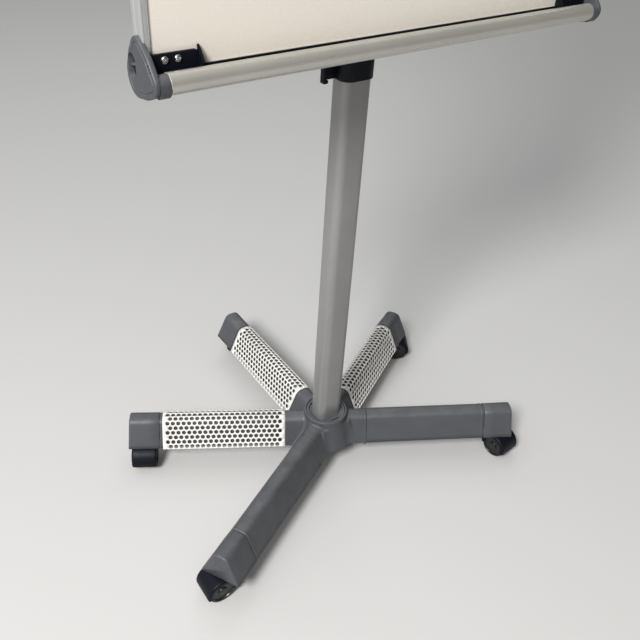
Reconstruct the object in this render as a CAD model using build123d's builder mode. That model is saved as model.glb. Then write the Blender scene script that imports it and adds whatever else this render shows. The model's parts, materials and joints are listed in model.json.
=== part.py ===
from build123d import *
import os
from math import cos, hypot, radians, sin

# Mobile flipchart easel: a five-arm base on twin-wheel casters, a telescopic column, and an upright
# writing board with a pen tray below it and a paper clamp above it.
# +Z is up from the floor, the board faces -Y and +X is the viewer's right. Millimetres.

# ---- driving dimensions ----------------------------------------------------------------------------

COLUMN_Y = -94.1                 # the column stands this far from the origin, under the box's centre

# base: five arms, with one gap about twice as wide as the others between the front two
ARM_NAMES = ["front_right", "rear_right", "rear", "rear_left", "front_left"]
ARM_ANGLES = [-28.5, 30.0, 90.0, 150.0, 208.5]
REAR_ARMS = [1, 2, 3]
ARM_TIP_R = 383.0
CAP_R = 323.0                    # the end cap begins here
HUB_R = 81.0                     # the hub's stubs end here
ARM_BOTTOM_Z = 54.5
ARM_TOP_Z = 107.0
ARM_HALF_BOTTOM = 35.5
ARM_HALF_TOP = 12.5
ARM_TOP_RADIUS = 13.0
SHELL = 3.0                      # wall of every moulded cover
REAR_INSET = 3.0                 # a rear arm's cover is this much slimmer under its guard
REAR_WALL = 2.0
CAP_RAKE = 3.0                   # the cap's end leans back by this much at the top
CAP_PROUD = 1.0                  # the cap stands out from the arm by this much
CAP_EDGE = 2.0
SEAM_LAND = 10.0                 # full-size land at each end of a rear arm's cover
GUARD_WALL = 2.0
GUARD_START_R = 80.0
GUARD_END_R = 317.0

HUB_APOTHEM = 57.0
HUB_SHOULDER_R = 41.0
HUB_SHOULDER_Z = 104.0
HUB_LIP_R = 42.0
HUB_LIP_TOP_Z = 119.0
HUB_SEAT_R = 38.0                # the trim ring drops in here
HUB_BORE_R = 34.0
TRIM_FLOOR_Z = 113.5
TRIM_LIP_Z = 117.0
TRIM_LIP_R = 33.0

CORE_Z = 58.0
CORE_THICKNESS = 6.0
CORE_R = 50.0
BEAM_WIDTH = 30.0
BEAM_HEIGHT = 20.0
BEAM_WALL = 2.0
BEAM_START_R = 38.0
BEAM_END_R = 318.0

# casters
CASTER_R = 354.0                 # swivel axis from the column
CASTER_TRAILS = [-85.0, -33.0, 60.0, 240.0, 180.0]    # which way each one trails at rest
TRAIL = 24.0
WHEEL_R = 25.0
WHEEL_WIDTH = 18.0
WHEEL_INNER_Y = 4.0
WEB_HALF = 3.5
HOOD_R = 28.5
HOOD_CAVITY_R = 26.3
HOOD_HALF = 24.0
STEM_R = 5.45
SOCKET_BORE_R = 5.5
STEM_TOP_Z = 84.0
BOSS_R = 10.0
BOSS_TOP_Z = 57.6
SOCKET_BOTTOM_Z = 58.0
SOCKET_TOP_Z = 86.0
SOCKET_TONGUE = 30.0             # how far the socket reaches into its beam
SOCKET_BEYOND = 16.0             # and how far it runs past the swivel axis
AXLE_R = 3.0
AXLE_BORE_R = 3.05
AXLE_HALF = 21.0
TREAD_CHAMFER = 1.5

# column
COLUMN_W = 51.0
COLUMN_D = 39.0
COLUMN_CORNER = 13.0
COLUMN_WALL = 2.0
COLUMN_TOP_Z = 822.0
INNER_W = 42.0
INNER_D = 30.0
INNER_CORNER = 9.0
INNER_WALL = 1.8
INNER_BOTTOM_Z = 530.0
INNER_TOP_Z = 1560.0
PLUG_CAP = 4.0
PLUG_DEPTH = 16.0
PLUG_EDGE = 1.5
SLIDE_GAP = 0.3                  # between the guide bush and the inner tube
BUSH_BOTTOM_Z = 702.0
BUSH_FLANGE = 3.0
SPIGOT_TOP_Z = 106.0
TRIM_GAP = 0.3                   # between the hub's trim ring and the column
FOOT_BOLT_R = 5.0
FOOT_BOLT_HEAD = 6.4
FOOT_BOLT_HALF_FLATS = 8.5

COLLAR_WALL = 3.0
COLLAR_BOTTOM_Z = 778.0
COLLAR_TOP_Z = 830.0
COLLAR_EDGE = 2.0
COLLAR_GAP = 0.6                 # between the collar's mouth and the inner tube
LEVER_X = -38.0                  # the lever's pin, left of the column
LEVER_Y = COLUMN_Y + 6.0         # the middle of the lever and its two ears
LEVER_Z = 818.0
EAR_INNER = 1.8
EAR_OUTER = 4.5
EAR_CORNER = 5.0                 # the ears are rounded about the pin
EAR_OUT_X = LEVER_X - EAR_CORNER
EAR_BOTTOM_Z = 779.0
LEVER_HALF = 1.6
LEVER_HEAD_R = 7.0
LEVER_FACE_X = EAR_OUT_X - 0.4   # the handle lies just outside the ears
LEVER_THICKNESS = 4.6
LEVER_TIP_Z = 773.0
LEVER_PIN_R = 2.0
LEVER_PIN_GAP = 0.05
LEVER_FOOT_HEIGHT = 5.0
LEVER_FOOT_REACH = 3.0           # the foot hooks back under the ears

# board
BOARD_W = 700.0
BOARD_H = 1000.0
BOARD_BOTTOM_Z = 858.0
BOARD_FRONT_Y = COLUMN_Y - 97.0
BOARD_DEPTH = 23.0
FRAME_FACE = 9.0
FRAME_WEB = 1.5
PANEL_FRONT = 2.0                # the writing surface lies this far behind the frame's face
SHEET = 0.5
CORE_BOARD = 11.0
BOARD_TOP_Z = BOARD_BOTTOM_Z + BOARD_H
BOARD_BACK_Y = BOARD_FRONT_Y + BOARD_DEPTH
BOARD_MID_Z = BOARD_BOTTOM_Z + BOARD_H / 2
PANEL_FRONT_Y = BOARD_FRONT_Y + PANEL_FRONT
PANEL_BACK_Y = PANEL_FRONT_Y + CORE_BOARD + 2 * SHEET

BRACKET_ZS = [1035.0, 1485.0]
BRACKET_HALF_W = 70.0
BRACKET_HEIGHT = 50.0
BRACKET_PLATE = 3.0
BRACKET_CORNER = 6.0
BRACKET_BOLT_R = 4.0
BOLT_HEAD = 5.0
BOLT_HALF_FLATS = 6.5
BOARD_SCREW_X = 50.0
BOARD_SCREW_R = 2.5
BOARD_SCREW_LENGTH = 12.0
BOARD_SCREW_HEAD = 2.5

# pen tray
RAIL_Y = COLUMN_Y - 119.0
RAIL_Z = 859.0
RAIL_R = 12.0
RAIL_WALL = 1.5
RAIL_HALF = 336.0
SLEEVE_R = 13.2                  # the end cheek's sleeve carries the rail's line on
SLEEVE_Y = RAIL_Y + 0.5
SLEEVE_Z = RAIL_Z - 2.6
SPIGOT_LENGTH = 16.0             # and plugs into the rail by this much
END_CHAMFER = 1.5
END_RECESS_Y = COLUMN_Y - 68.0
END_RECESS_Z = 861.0
END_RECESS_DEPTH = 2.5
END_OUTER_X = 354.0
END_INNER_X = 347.5
TRAY_FLOOR_Z = 846.0
TRAY_WALL = 2.0
TRAY_BACK_TOP_Z = 867.0
TRAY_LIP_Y = COLUMN_Y - 106.6
PLATE_INNER_X = 286.5
PLATE_THICKNESS = 3.5
PLATE_TOP_Z = 884.0
FIN_THICKNESS = 3.0
FIN_TOP_Z = 888.0
FIN_NOSE_Y = COLUMN_Y - 111.0     # the fin comes down behind the rail
PLATE_CORNER = 8.0
TRAY_SCREW_XS = [313.6, 329.0]
TRAY_SCREW_Z = 877.5
TRAY_SCREW_HEAD_R = 4.2
TRAY_SCREW_R = 2.0
TRAY_SCREW_HEAD = 2.4
TRAY_SCREW_DOME = 1.6
SOCKET_KEY_R = 1.6
SOCKET_KEY_DEPTH = 1.2

# paper clamp
HEAD_HALF = 331.0
HEAD_FRONT_Y = COLUMN_Y - 113.0
HEAD_BOTTOM_Z = 1838.0
HEAD_TOP_Z = 1866.0
SLOT_Z = 1851.0
SLOT_HALF = 4.0
POCKET_HALF = 7.0
POCKET_FRONT_Y = COLUMN_Y - 109.5
POCKET_BACK_Y = COLUMN_Y - 103.5
CLAMP_Y = COLUMN_Y - 103.0
CLAMP_Z = 1831.0
CLAMP_R = 4.0
CLAMP_BOTTOM_Z = 1796.0
CLAMP_HALF = 330.7
CLAMP_PIN_R = 2.5
CLAMP_PIN_BORE_R = 2.55
CLAMP_PIN_LENGTH = 22.0
CLAMP_PIN_REACH = 12.0           # how far each pin reaches into the clamp bar
HEAD_CAP_BELOW = 9.0             # the end cap reaches this far below the clamp's hinge
HEAD_CAP_CORNER = 3.0
STUD_X = 150.0
STUD_GAP = 0.3
STUD_WIDTH = 24.0
STUD_NECK_WIDTH = 12.0
STUD_KNOB = 6.0
STUD_TIP_CHAMFER = 1.0
STUD_KNOB_R = 9.0
STUD_PIN_R = 4.0
STUD_PIN_TIP_Y = COLUMN_Y - 135.0

os.makedirs("parts", exist_ok=True)


# ---- places and shared profiles --------------------------------------------------------------------

def column_plane(z):
    """A level plane on the column's axis."""
    return Plane(origin=(0, COLUMN_Y, z))


def arm_plane(angle, radius):
    """A plane across an arm, looking outwards, with its own Y pointing up from the floor."""
    out_x = cos(radians(angle))
    out_y = sin(radians(angle))
    origin = (radius * out_x, COLUMN_Y + radius * out_y, 0)
    return Plane(origin=origin, x_dir=(-out_y, out_x, 0), z_dir=(out_x, out_y, 0))


def side_plane(x):
    """A plane facing +X whose own X runs along +Y and whose own Y runs up."""
    return Plane(origin=(x, 0, 0), x_dir=(0, 1, 0), z_dir=(1, 0, 0))


def front_plane(y):
    """A plane facing -Y whose own X runs along +X and whose own Y runs up."""
    return Plane(origin=(0, y, 0), x_dir=(1, 0, 0), z_dir=(0, -1, 0))


def arm_section(plane, inset=0.0, drop=0.0):
    """An arm's section: a trapezoid with a rounded top, shrunk by inset and carried down by drop."""
    slope = (ARM_HALF_BOTTOM - ARM_HALF_TOP) / (ARM_TOP_Z - ARM_BOTTOM_Z)
    lean = inset * hypot(1, slope)
    top = ARM_TOP_Z - inset
    bottom = ARM_BOTTOM_Z - drop
    half_bottom = ARM_HALF_BOTTOM + slope * drop - lean
    half_top = ARM_HALF_TOP + slope * inset - lean
    with BuildSketch(plane) as section:
        with BuildLine():
            Polyline(
                (-half_bottom, bottom),
                (half_bottom, bottom),
                (half_top, top),
                (-half_top, top),
                close=True,
            )
        make_face()
        fillet(section.vertices().group_by(Axis.Y)[-1], ARM_TOP_RADIUS - inset)
    return section.sketch


def rounded_section(z, width, depth, corner):
    """A rounded rectangle about the column's axis."""
    with BuildSketch(column_plane(z)) as section:
        RectangleRounded(width, depth, corner)
    return section.sketch


def caster_plane(index):
    """A caster's own frame: its swivel axis is Z, and its wheels trail along its X."""
    angle = radians(ARM_ANGLES[index])
    trail = radians(CASTER_TRAILS[index])
    origin = (CASTER_R * cos(angle), COLUMN_Y + CASTER_R * sin(angle), 0)
    return Plane(origin=origin, x_dir=(cos(trail), sin(trail), 0), z_dir=(0, 0, 1))


def write(builder, name):
    """Label a finished piece and write it to its own file."""
    builder.part.label = name
    export_step(builder.part, f"parts/{name}.step")


# ---- base: hub, beams, covers ----------------------------------------------------------------------

with BuildPart() as hub_cover:
    with BuildSketch(column_plane(ARM_BOTTOM_Z)):
        RegularPolygon(HUB_APOTHEM, 6, major_radius=False)
    with BuildSketch(column_plane(HUB_SHOULDER_Z)):
        Circle(HUB_SHOULDER_R)
    loft()
    for angle in ARM_ANGLES:
        extrude(arm_section(arm_plane(angle, 0)), amount=HUB_R)
    with BuildSketch(column_plane(HUB_SHOULDER_Z - SHELL)):
        Circle(HUB_LIP_R)
    extrude(amount=HUB_LIP_TOP_Z - HUB_SHOULDER_Z + SHELL)
    with BuildSketch(column_plane(ARM_BOTTOM_Z - 1)):
        RegularPolygon(HUB_APOTHEM - SHELL, 6, major_radius=False)
    with BuildSketch(column_plane(HUB_SHOULDER_Z - SHELL)):
        Circle(HUB_SHOULDER_R - SHELL)
    loft(mode=Mode.SUBTRACT)
    for angle in ARM_ANGLES:
        extrude(arm_section(arm_plane(angle, 0), SHELL, 1), amount=HUB_R, mode=Mode.SUBTRACT)
    with BuildSketch(column_plane(HUB_SHOULDER_Z)):
        Circle(HUB_SEAT_R)
    extrude(amount=HUB_LIP_TOP_Z, mode=Mode.SUBTRACT)
    with BuildSketch(column_plane(HUB_SHOULDER_Z - 2 * SHELL)):
        Circle(HUB_BORE_R)
    extrude(amount=HUB_LIP_TOP_Z, mode=Mode.SUBTRACT)
write(hub_cover, "hub_cover")

with BuildPart() as hub_trim_ring:
    with BuildSketch(column_plane(HUB_SHOULDER_Z)):
        Circle(HUB_SEAT_R)
        RectangleRounded(COLUMN_W + 2 * TRIM_GAP, COLUMN_D + 2 * TRIM_GAP, COLUMN_CORNER, mode=Mode.SUBTRACT)
    extrude(amount=TRIM_FLOOR_Z - HUB_SHOULDER_Z)
    with BuildSketch(column_plane(TRIM_FLOOR_Z)):
        Circle(HUB_SEAT_R)
        Circle(TRIM_LIP_R, mode=Mode.SUBTRACT)
    extrude(amount=TRIM_LIP_Z - TRIM_FLOOR_Z)
write(hub_trim_ring, "hub_trim_ring")

with BuildPart() as hub_core:
    with BuildSketch(column_plane(CORE_Z)):
        Circle(CORE_R)
    extrude(amount=CORE_THICKNESS)
    spigot = rounded_section(
        CORE_Z + CORE_THICKNESS,
        COLUMN_W - 2 * COLUMN_WALL,
        COLUMN_D - 2 * COLUMN_WALL,
        COLUMN_CORNER - COLUMN_WALL,
    )
    extrude(spigot, amount=SPIGOT_TOP_Z - CORE_Z - CORE_THICKNESS)
    with BuildSketch(column_plane(CORE_Z)):
        Circle(FOOT_BOLT_R)
    extrude(amount=SPIGOT_TOP_Z, mode=Mode.SUBTRACT)
write(hub_core, "hub_core")

with BuildPart() as foot_bolt:
    with BuildSketch(column_plane(CORE_Z - FOOT_BOLT_HEAD)):
        RegularPolygon(FOOT_BOLT_HALF_FLATS, 6, major_radius=False)
    extrude(amount=FOOT_BOLT_HEAD)
    with BuildSketch(column_plane(CORE_Z)):
        Circle(FOOT_BOLT_R)
    extrude(amount=SPIGOT_TOP_Z - CORE_Z - 2)
write(foot_bolt, "foot_bolt")

with BuildPart() as arm_beams:
    beam_middle = CORE_Z + CORE_THICKNESS + BEAM_HEIGHT / 2
    for angle in ARM_ANGLES:
        with BuildSketch(arm_plane(angle, BEAM_START_R)):
            with Locations((0, beam_middle)):
                Rectangle(BEAM_WIDTH, BEAM_HEIGHT)
                Rectangle(BEAM_WIDTH - 2 * BEAM_WALL, BEAM_HEIGHT - 2 * BEAM_WALL, mode=Mode.SUBTRACT)
        extrude(amount=BEAM_END_R - BEAM_START_R)
write(arm_beams, "arm_beams")

for index in [0, 4]:
    with BuildPart() as arm_cover:
        extrude(arm_section(arm_plane(ARM_ANGLES[index], HUB_R)), amount=CAP_R - HUB_R)
        extrude(
            arm_section(arm_plane(ARM_ANGLES[index], HUB_R), SHELL, 1),
            amount=CAP_R - HUB_R,
            mode=Mode.SUBTRACT,
        )
    write(arm_cover, f"arm_cover_{ARM_NAMES[index]}")

with BuildPart() as rear_arm_covers:
    for index in REAR_ARMS:
        angle = ARM_ANGLES[index]
        extrude(arm_section(arm_plane(angle, HUB_R), REAR_INSET), amount=CAP_R - HUB_R)
        extrude(arm_section(arm_plane(angle, HUB_R)), amount=SEAM_LAND)
        extrude(arm_section(arm_plane(angle, CAP_R - 2 * SEAM_LAND)), amount=2 * SEAM_LAND)
        extrude(
            arm_section(arm_plane(angle, HUB_R), REAR_INSET + REAR_WALL, 1),
            amount=CAP_R - HUB_R,
            mode=Mode.SUBTRACT,
        )
write(rear_arm_covers, "rear_arm_covers")

for index in REAR_ARMS:
    with BuildPart() as guard:
        extrude(
            arm_section(arm_plane(ARM_ANGLES[index], GUARD_START_R), -GUARD_WALL),
            amount=GUARD_END_R - GUARD_START_R,
        )
        extrude(
            arm_section(arm_plane(ARM_ANGLES[index], GUARD_START_R), 0, 1),
            amount=GUARD_END_R - GUARD_START_R,
            mode=Mode.SUBTRACT,
        )
    write(guard, f"guard_{ARM_NAMES[index]}")

for index, angle in enumerate(ARM_ANGLES):
    with BuildPart() as end_cap:
        extrude(arm_section(arm_plane(angle, CAP_R), -CAP_PROUD), amount=ARM_TIP_R - CAP_R)
        tip = arm_plane(angle, ARM_TIP_R)
        lean_back = Plane(
            origin=tip.origin + tip.y_dir * ARM_BOTTOM_Z,
            x_dir=tip.x_dir,
            z_dir=tip.z_dir * (ARM_TOP_Z - ARM_BOTTOM_Z) + tip.y_dir * CAP_RAKE,
        )
        split(bisect_by=lean_back, keep=Keep.BOTTOM)
        fillet(end_cap.faces().sort_by(Axis(tip.origin, tip.z_dir))[-1].edges(), CAP_EDGE)
        extrude(
            arm_section(arm_plane(angle, CAP_R), SHELL, 1),
            amount=ARM_TIP_R - CAP_R - CAP_RAKE - SHELL,
            mode=Mode.SUBTRACT,
        )
    write(end_cap, f"end_cap_{ARM_NAMES[index]}")

with BuildPart() as caster_sockets:
    for index, angle in enumerate(ARM_ANGLES):
        with BuildSketch(arm_plane(angle, BEAM_END_R - SOCKET_TONGUE)):
            with Locations((0, beam_middle)):
                Rectangle(BEAM_WIDTH - 2 * BEAM_WALL, BEAM_HEIGHT - 2 * BEAM_WALL)
        extrude(amount=SOCKET_TONGUE)
        with BuildSketch(arm_plane(angle, BEAM_END_R)):
            with Locations((0, (SOCKET_BOTTOM_Z + SOCKET_TOP_Z) / 2)):
                Rectangle(BEAM_WIDTH, SOCKET_TOP_Z - SOCKET_BOTTOM_Z)
        extrude(amount=CASTER_R + SOCKET_BEYOND - BEAM_END_R)
    for index in range(len(ARM_ANGLES)):
        with BuildSketch(caster_plane(index).offset(SOCKET_BOTTOM_Z)):
            Circle(SOCKET_BORE_R)
        extrude(amount=SOCKET_TOP_Z, mode=Mode.SUBTRACT)
write(caster_sockets, "caster_sockets")


# ---- casters ---------------------------------------------------------------------------------------

def caster_side(index, offset):
    """A plane along a caster's wheel axis: its own X is the trail, its own Y is up."""
    base = caster_plane(index)
    origin = base.origin - base.y_dir * offset
    return Plane(origin=origin, x_dir=base.x_dir, z_dir=base.y_dir * -1)


for index, name in enumerate(ARM_NAMES):
    with BuildPart() as fork:
        with BuildSketch(caster_side(index, -HOOD_HALF)):
            with Locations((TRAIL, WHEEL_R)):
                Circle(HOOD_R)
            with Locations((TRAIL, WHEEL_R - HOOD_R)):
                Rectangle(4 * HOOD_R, 2 * HOOD_R, mode=Mode.SUBTRACT)
        extrude(amount=2 * HOOD_HALF)
        with BuildSketch(caster_plane(index).offset(WHEEL_R + 4)):
            Circle(BOSS_R)
        extrude(amount=BOSS_TOP_Z - WHEEL_R - 4)
        with BuildSketch(caster_plane(index).offset(BOSS_TOP_Z)):
            Circle(STEM_R)
        extrude(amount=STEM_TOP_Z - BOSS_TOP_Z)
        for start in [-HOOD_HALF, WEB_HALF]:
            with BuildSketch(caster_side(index, start)):
                with Locations((TRAIL, WHEEL_R)):
                    Circle(HOOD_CAVITY_R)
            extrude(amount=HOOD_HALF - WEB_HALF, mode=Mode.SUBTRACT)
        with BuildSketch(caster_side(index, -WEB_HALF)):
            with Locations((TRAIL, WHEEL_R)):
                Circle(BOSS_R)
        extrude(amount=2 * WEB_HALF)
        with BuildSketch(caster_side(index, -WEB_HALF)):
            with Locations((TRAIL, WHEEL_R)):
                Circle(AXLE_BORE_R)
        extrude(amount=2 * WEB_HALF, mode=Mode.SUBTRACT)
    write(fork, f"caster_fork_{name}")

    with BuildPart() as wheels:
        for start in [-WHEEL_INNER_Y - WHEEL_WIDTH, WHEEL_INNER_Y]:
            with BuildSketch(caster_side(index, start)):
                with Locations((TRAIL, WHEEL_R)):
                    Circle(WHEEL_R)
                    Circle(AXLE_R, mode=Mode.SUBTRACT)
            extrude(amount=WHEEL_WIDTH)
        chamfer(wheels.edges().filter_by(GeomType.CIRCLE).group_by(SortBy.RADIUS)[-1], TREAD_CHAMFER)
    write(wheels, f"caster_wheels_{name}")

    with BuildPart() as axle:
        with BuildSketch(caster_side(index, -AXLE_HALF)):
            with Locations((TRAIL, WHEEL_R)):
                Circle(AXLE_R)
        extrude(amount=2 * AXLE_HALF)
    write(axle, f"caster_axle_{name}")


# ---- column ----------------------------------------------------------------------------------------

with BuildPart() as column_tube:
    foot_z = CORE_Z + CORE_THICKNESS
    extrude(rounded_section(foot_z, COLUMN_W, COLUMN_D, COLUMN_CORNER), amount=COLUMN_TOP_Z - foot_z)
    bore = rounded_section(
        foot_z,
        COLUMN_W - 2 * COLUMN_WALL,
        COLUMN_D - 2 * COLUMN_WALL,
        COLUMN_CORNER - COLUMN_WALL,
    )
    extrude(bore, amount=COLUMN_TOP_Z - foot_z, mode=Mode.SUBTRACT)
write(column_tube, "column_tube")

with BuildPart() as guide_bush:
    sleeve = rounded_section(
        BUSH_BOTTOM_Z,
        COLUMN_W - 2 * COLUMN_WALL,
        COLUMN_D - 2 * COLUMN_WALL,
        COLUMN_CORNER - COLUMN_WALL,
    )
    extrude(sleeve, amount=COLUMN_TOP_Z - BUSH_BOTTOM_Z)
    flange = rounded_section(COLUMN_TOP_Z, COLUMN_W, COLUMN_D, COLUMN_CORNER)
    extrude(flange, amount=BUSH_FLANGE)
    slide_way = rounded_section(
        BUSH_BOTTOM_Z,
        INNER_W + 2 * SLIDE_GAP,
        INNER_D + 2 * SLIDE_GAP,
        INNER_CORNER + SLIDE_GAP,
    )
    extrude(slide_way, amount=COLUMN_TOP_Z + BUSH_FLANGE - BUSH_BOTTOM_Z, mode=Mode.SUBTRACT)
write(guide_bush, "guide_bush")

with BuildPart() as height_collar:
    outer = rounded_section(
        COLLAR_BOTTOM_Z,
        COLUMN_W + 2 * COLLAR_WALL,
        COLUMN_D + 2 * COLLAR_WALL,
        COLUMN_CORNER + COLLAR_WALL,
    )
    extrude(outer, amount=COLLAR_TOP_Z - COLLAR_BOTTOM_Z)
    fillet(height_collar.edges().group_by(Axis.Z)[-1], COLLAR_EDGE)
    for ear_y in [LEVER_Y + EAR_OUTER, LEVER_Y - EAR_INNER]:
        with BuildSketch(front_plane(ear_y)):
            with BuildLine():
                root_x = -COLUMN_W / 2
                ear_top_z = LEVER_Z + EAR_CORNER
                corner_step = EAR_CORNER * sin(radians(45))
                Line((root_x, EAR_BOTTOM_Z), (EAR_OUT_X, EAR_BOTTOM_Z))
                Line((EAR_OUT_X, EAR_BOTTOM_Z), (EAR_OUT_X, LEVER_Z))
                ThreePointArc(
                    (EAR_OUT_X, LEVER_Z),
                    (LEVER_X - corner_step, LEVER_Z + corner_step),
                    (LEVER_X, ear_top_z),
                )
                Line((LEVER_X, ear_top_z), (root_x, ear_top_z))
                Line((root_x, ear_top_z), (root_x, EAR_BOTTOM_Z))
            make_face()
        extrude(amount=EAR_OUTER - EAR_INNER)
    extrude(
        rounded_section(COLLAR_BOTTOM_Z, COLUMN_W, COLUMN_D, COLUMN_CORNER),
        amount=COLUMN_TOP_Z + BUSH_FLANGE - COLLAR_BOTTOM_Z,
        mode=Mode.SUBTRACT,
    )
    mouth = rounded_section(
        COLLAR_BOTTOM_Z,
        INNER_W + 2 * COLLAR_GAP,
        INNER_D + 2 * COLLAR_GAP,
        INNER_CORNER + COLLAR_GAP,
    )
    extrude(mouth, amount=COLLAR_TOP_Z - COLLAR_BOTTOM_Z, mode=Mode.SUBTRACT)
    with BuildSketch(front_plane(LEVER_Y + EAR_OUTER)):
        with Locations((LEVER_X, LEVER_Z)):
            Circle(LEVER_PIN_R)
    extrude(amount=2 * EAR_OUTER, mode=Mode.SUBTRACT)
write(height_collar, "height_collar")

with BuildPart() as lever_pin:
    with BuildSketch(front_plane(LEVER_Y + EAR_OUTER)):
        with Locations((LEVER_X, LEVER_Z)):
            Circle(LEVER_PIN_R)
    extrude(amount=2 * EAR_OUTER)
write(lever_pin, "lever_pin")

with BuildPart() as clamp_lever:
    with BuildSketch(front_plane(LEVER_Y + LEVER_HALF)):
        with Locations((LEVER_X, LEVER_Z)):
            Circle(LEVER_HEAD_R)
    extrude(amount=2 * LEVER_HALF)
    with BuildSketch(front_plane(LEVER_Y + EAR_OUTER)):
        with Locations((LEVER_FACE_X - LEVER_THICKNESS / 2, (LEVER_Z + LEVER_TIP_Z) / 2)):
            Rectangle(LEVER_THICKNESS, LEVER_Z - LEVER_TIP_Z)
        with Locations((LEVER_FACE_X, LEVER_TIP_Z + LEVER_FOOT_HEIGHT / 2)):
            RectangleRounded(2 * LEVER_FOOT_REACH, LEVER_FOOT_HEIGHT, LEVER_FOOT_REACH / 2)
    extrude(amount=2 * EAR_OUTER)
    with BuildSketch(front_plane(LEVER_Y + LEVER_HALF)):
        with Locations((LEVER_X, LEVER_Z)):
            Circle(LEVER_PIN_R + LEVER_PIN_GAP)
    extrude(amount=2 * LEVER_HALF, mode=Mode.SUBTRACT)
write(clamp_lever, "clamp_lever")

with BuildPart() as inner_tube:
    wall = rounded_section(INNER_BOTTOM_Z, INNER_W, INNER_D, INNER_CORNER)
    extrude(wall, amount=INNER_TOP_Z - INNER_BOTTOM_Z)
    hollow = rounded_section(
        INNER_BOTTOM_Z,
        INNER_W - 2 * INNER_WALL,
        INNER_D - 2 * INNER_WALL,
        INNER_CORNER - INNER_WALL,
    )
    extrude(hollow, amount=INNER_TOP_Z - INNER_BOTTOM_Z, mode=Mode.SUBTRACT)
    for bracket_z in BRACKET_ZS:
        with BuildSketch(side_plane(-INNER_W)):
            with Locations((COLUMN_Y, bracket_z)):
                Circle(BRACKET_BOLT_R)
        extrude(amount=2 * INNER_W, mode=Mode.SUBTRACT)
write(inner_tube, "inner_tube")

with BuildPart() as tube_plug:
    extrude(rounded_section(INNER_TOP_Z, INNER_W, INNER_D, INNER_CORNER), amount=PLUG_CAP)
    plug = rounded_section(
        INNER_TOP_Z,
        INNER_W - 2 * INNER_WALL,
        INNER_D - 2 * INNER_WALL,
        INNER_CORNER - INNER_WALL,
    )
    extrude(plug, amount=-PLUG_DEPTH)
    fillet(tube_plug.edges().group_by(Axis.Z)[-1], PLUG_EDGE)
write(tube_plug, "tube_plug")


# ---- what carries the board ------------------------------------------------------------------------

board_screw_points = [
    (side * BOARD_SCREW_X, bracket_z + step)
    for bracket_z in BRACKET_ZS
    for side in (-1, 1)
    for step in (-BRACKET_HEIGHT / 4, BRACKET_HEIGHT / 4)
]

with BuildPart() as board_brackets:
    for bracket_z in BRACKET_ZS:
        with BuildSketch(front_plane(PANEL_BACK_Y + BRACKET_PLATE)):
            with Locations((0, bracket_z)):
                RectangleRounded(2 * BRACKET_HALF_W, BRACKET_HEIGHT, BRACKET_CORNER)
        extrude(amount=BRACKET_PLATE)
        for cheek_x in [-INNER_W / 2 - BRACKET_PLATE, INNER_W / 2]:
            with BuildSketch(side_plane(cheek_x)):
                with BuildLine():
                    Polyline(
                        (PANEL_BACK_Y + BRACKET_PLATE, bracket_z - BRACKET_HEIGHT / 2),
                        (COLUMN_Y + INNER_D / 2 - 2, bracket_z - BRACKET_HEIGHT / 4),
                        (COLUMN_Y + INNER_D / 2 - 2, bracket_z + BRACKET_HEIGHT / 4),
                        (PANEL_BACK_Y + BRACKET_PLATE, bracket_z + BRACKET_HEIGHT / 2),
                        close=True,
                    )
                make_face()
                with Locations((COLUMN_Y, bracket_z)):
                    Circle(BRACKET_BOLT_R, mode=Mode.SUBTRACT)
            extrude(amount=BRACKET_PLATE)
    with BuildSketch(front_plane(PANEL_BACK_Y + BRACKET_PLATE)):
        with Locations(*board_screw_points):
            Circle(BOARD_SCREW_R)
    extrude(amount=BRACKET_PLATE, mode=Mode.SUBTRACT)
write(board_brackets, "board_brackets")

with BuildPart() as bracket_fasteners:
    bolt_half = INNER_W / 2 + BRACKET_PLATE
    for bracket_z in BRACKET_ZS:
        with BuildSketch(side_plane(-bolt_half)):
            with Locations((COLUMN_Y, bracket_z)):
                Circle(BRACKET_BOLT_R)
        extrude(amount=2 * bolt_half)
        with BuildSketch(side_plane(-bolt_half - BOLT_HEAD), side_plane(bolt_half)):
            with Locations((COLUMN_Y, bracket_z)):
                RegularPolygon(BOLT_HALF_FLATS, 6, major_radius=False)
        extrude(amount=BOLT_HEAD)
    with BuildSketch(front_plane(PANEL_BACK_Y + BRACKET_PLATE)):
        with Locations(*board_screw_points):
            Circle(BOARD_SCREW_R)
    extrude(amount=BOARD_SCREW_LENGTH)
    with BuildSketch(front_plane(PANEL_BACK_Y + BRACKET_PLATE + BOARD_SCREW_HEAD)):
        with Locations(*board_screw_points):
            Circle(2 * BOARD_SCREW_R)
    extrude(amount=BOARD_SCREW_HEAD)
write(bracket_fasteners, "bracket_fasteners")


# ---- board -----------------------------------------------------------------------------------------

panel_w = BOARD_W - 2 * FRAME_WEB
panel_h = BOARD_H - 2 * FRAME_WEB
groove_back_y = BOARD_BACK_Y - PANEL_FRONT

outer_corners = [
    (-BOARD_W / 2, BOARD_BOTTOM_Z),
    (BOARD_W / 2, BOARD_BOTTOM_Z),
    (BOARD_W / 2, BOARD_TOP_Z),
    (-BOARD_W / 2, BOARD_TOP_Z),
]
inner_corners = [
    (-BOARD_W / 2 + FRAME_FACE, BOARD_BOTTOM_Z + FRAME_FACE),
    (BOARD_W / 2 - FRAME_FACE, BOARD_BOTTOM_Z + FRAME_FACE),
    (BOARD_W / 2 - FRAME_FACE, BOARD_TOP_Z - FRAME_FACE),
    (-BOARD_W / 2 + FRAME_FACE, BOARD_TOP_Z - FRAME_FACE),
]

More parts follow.
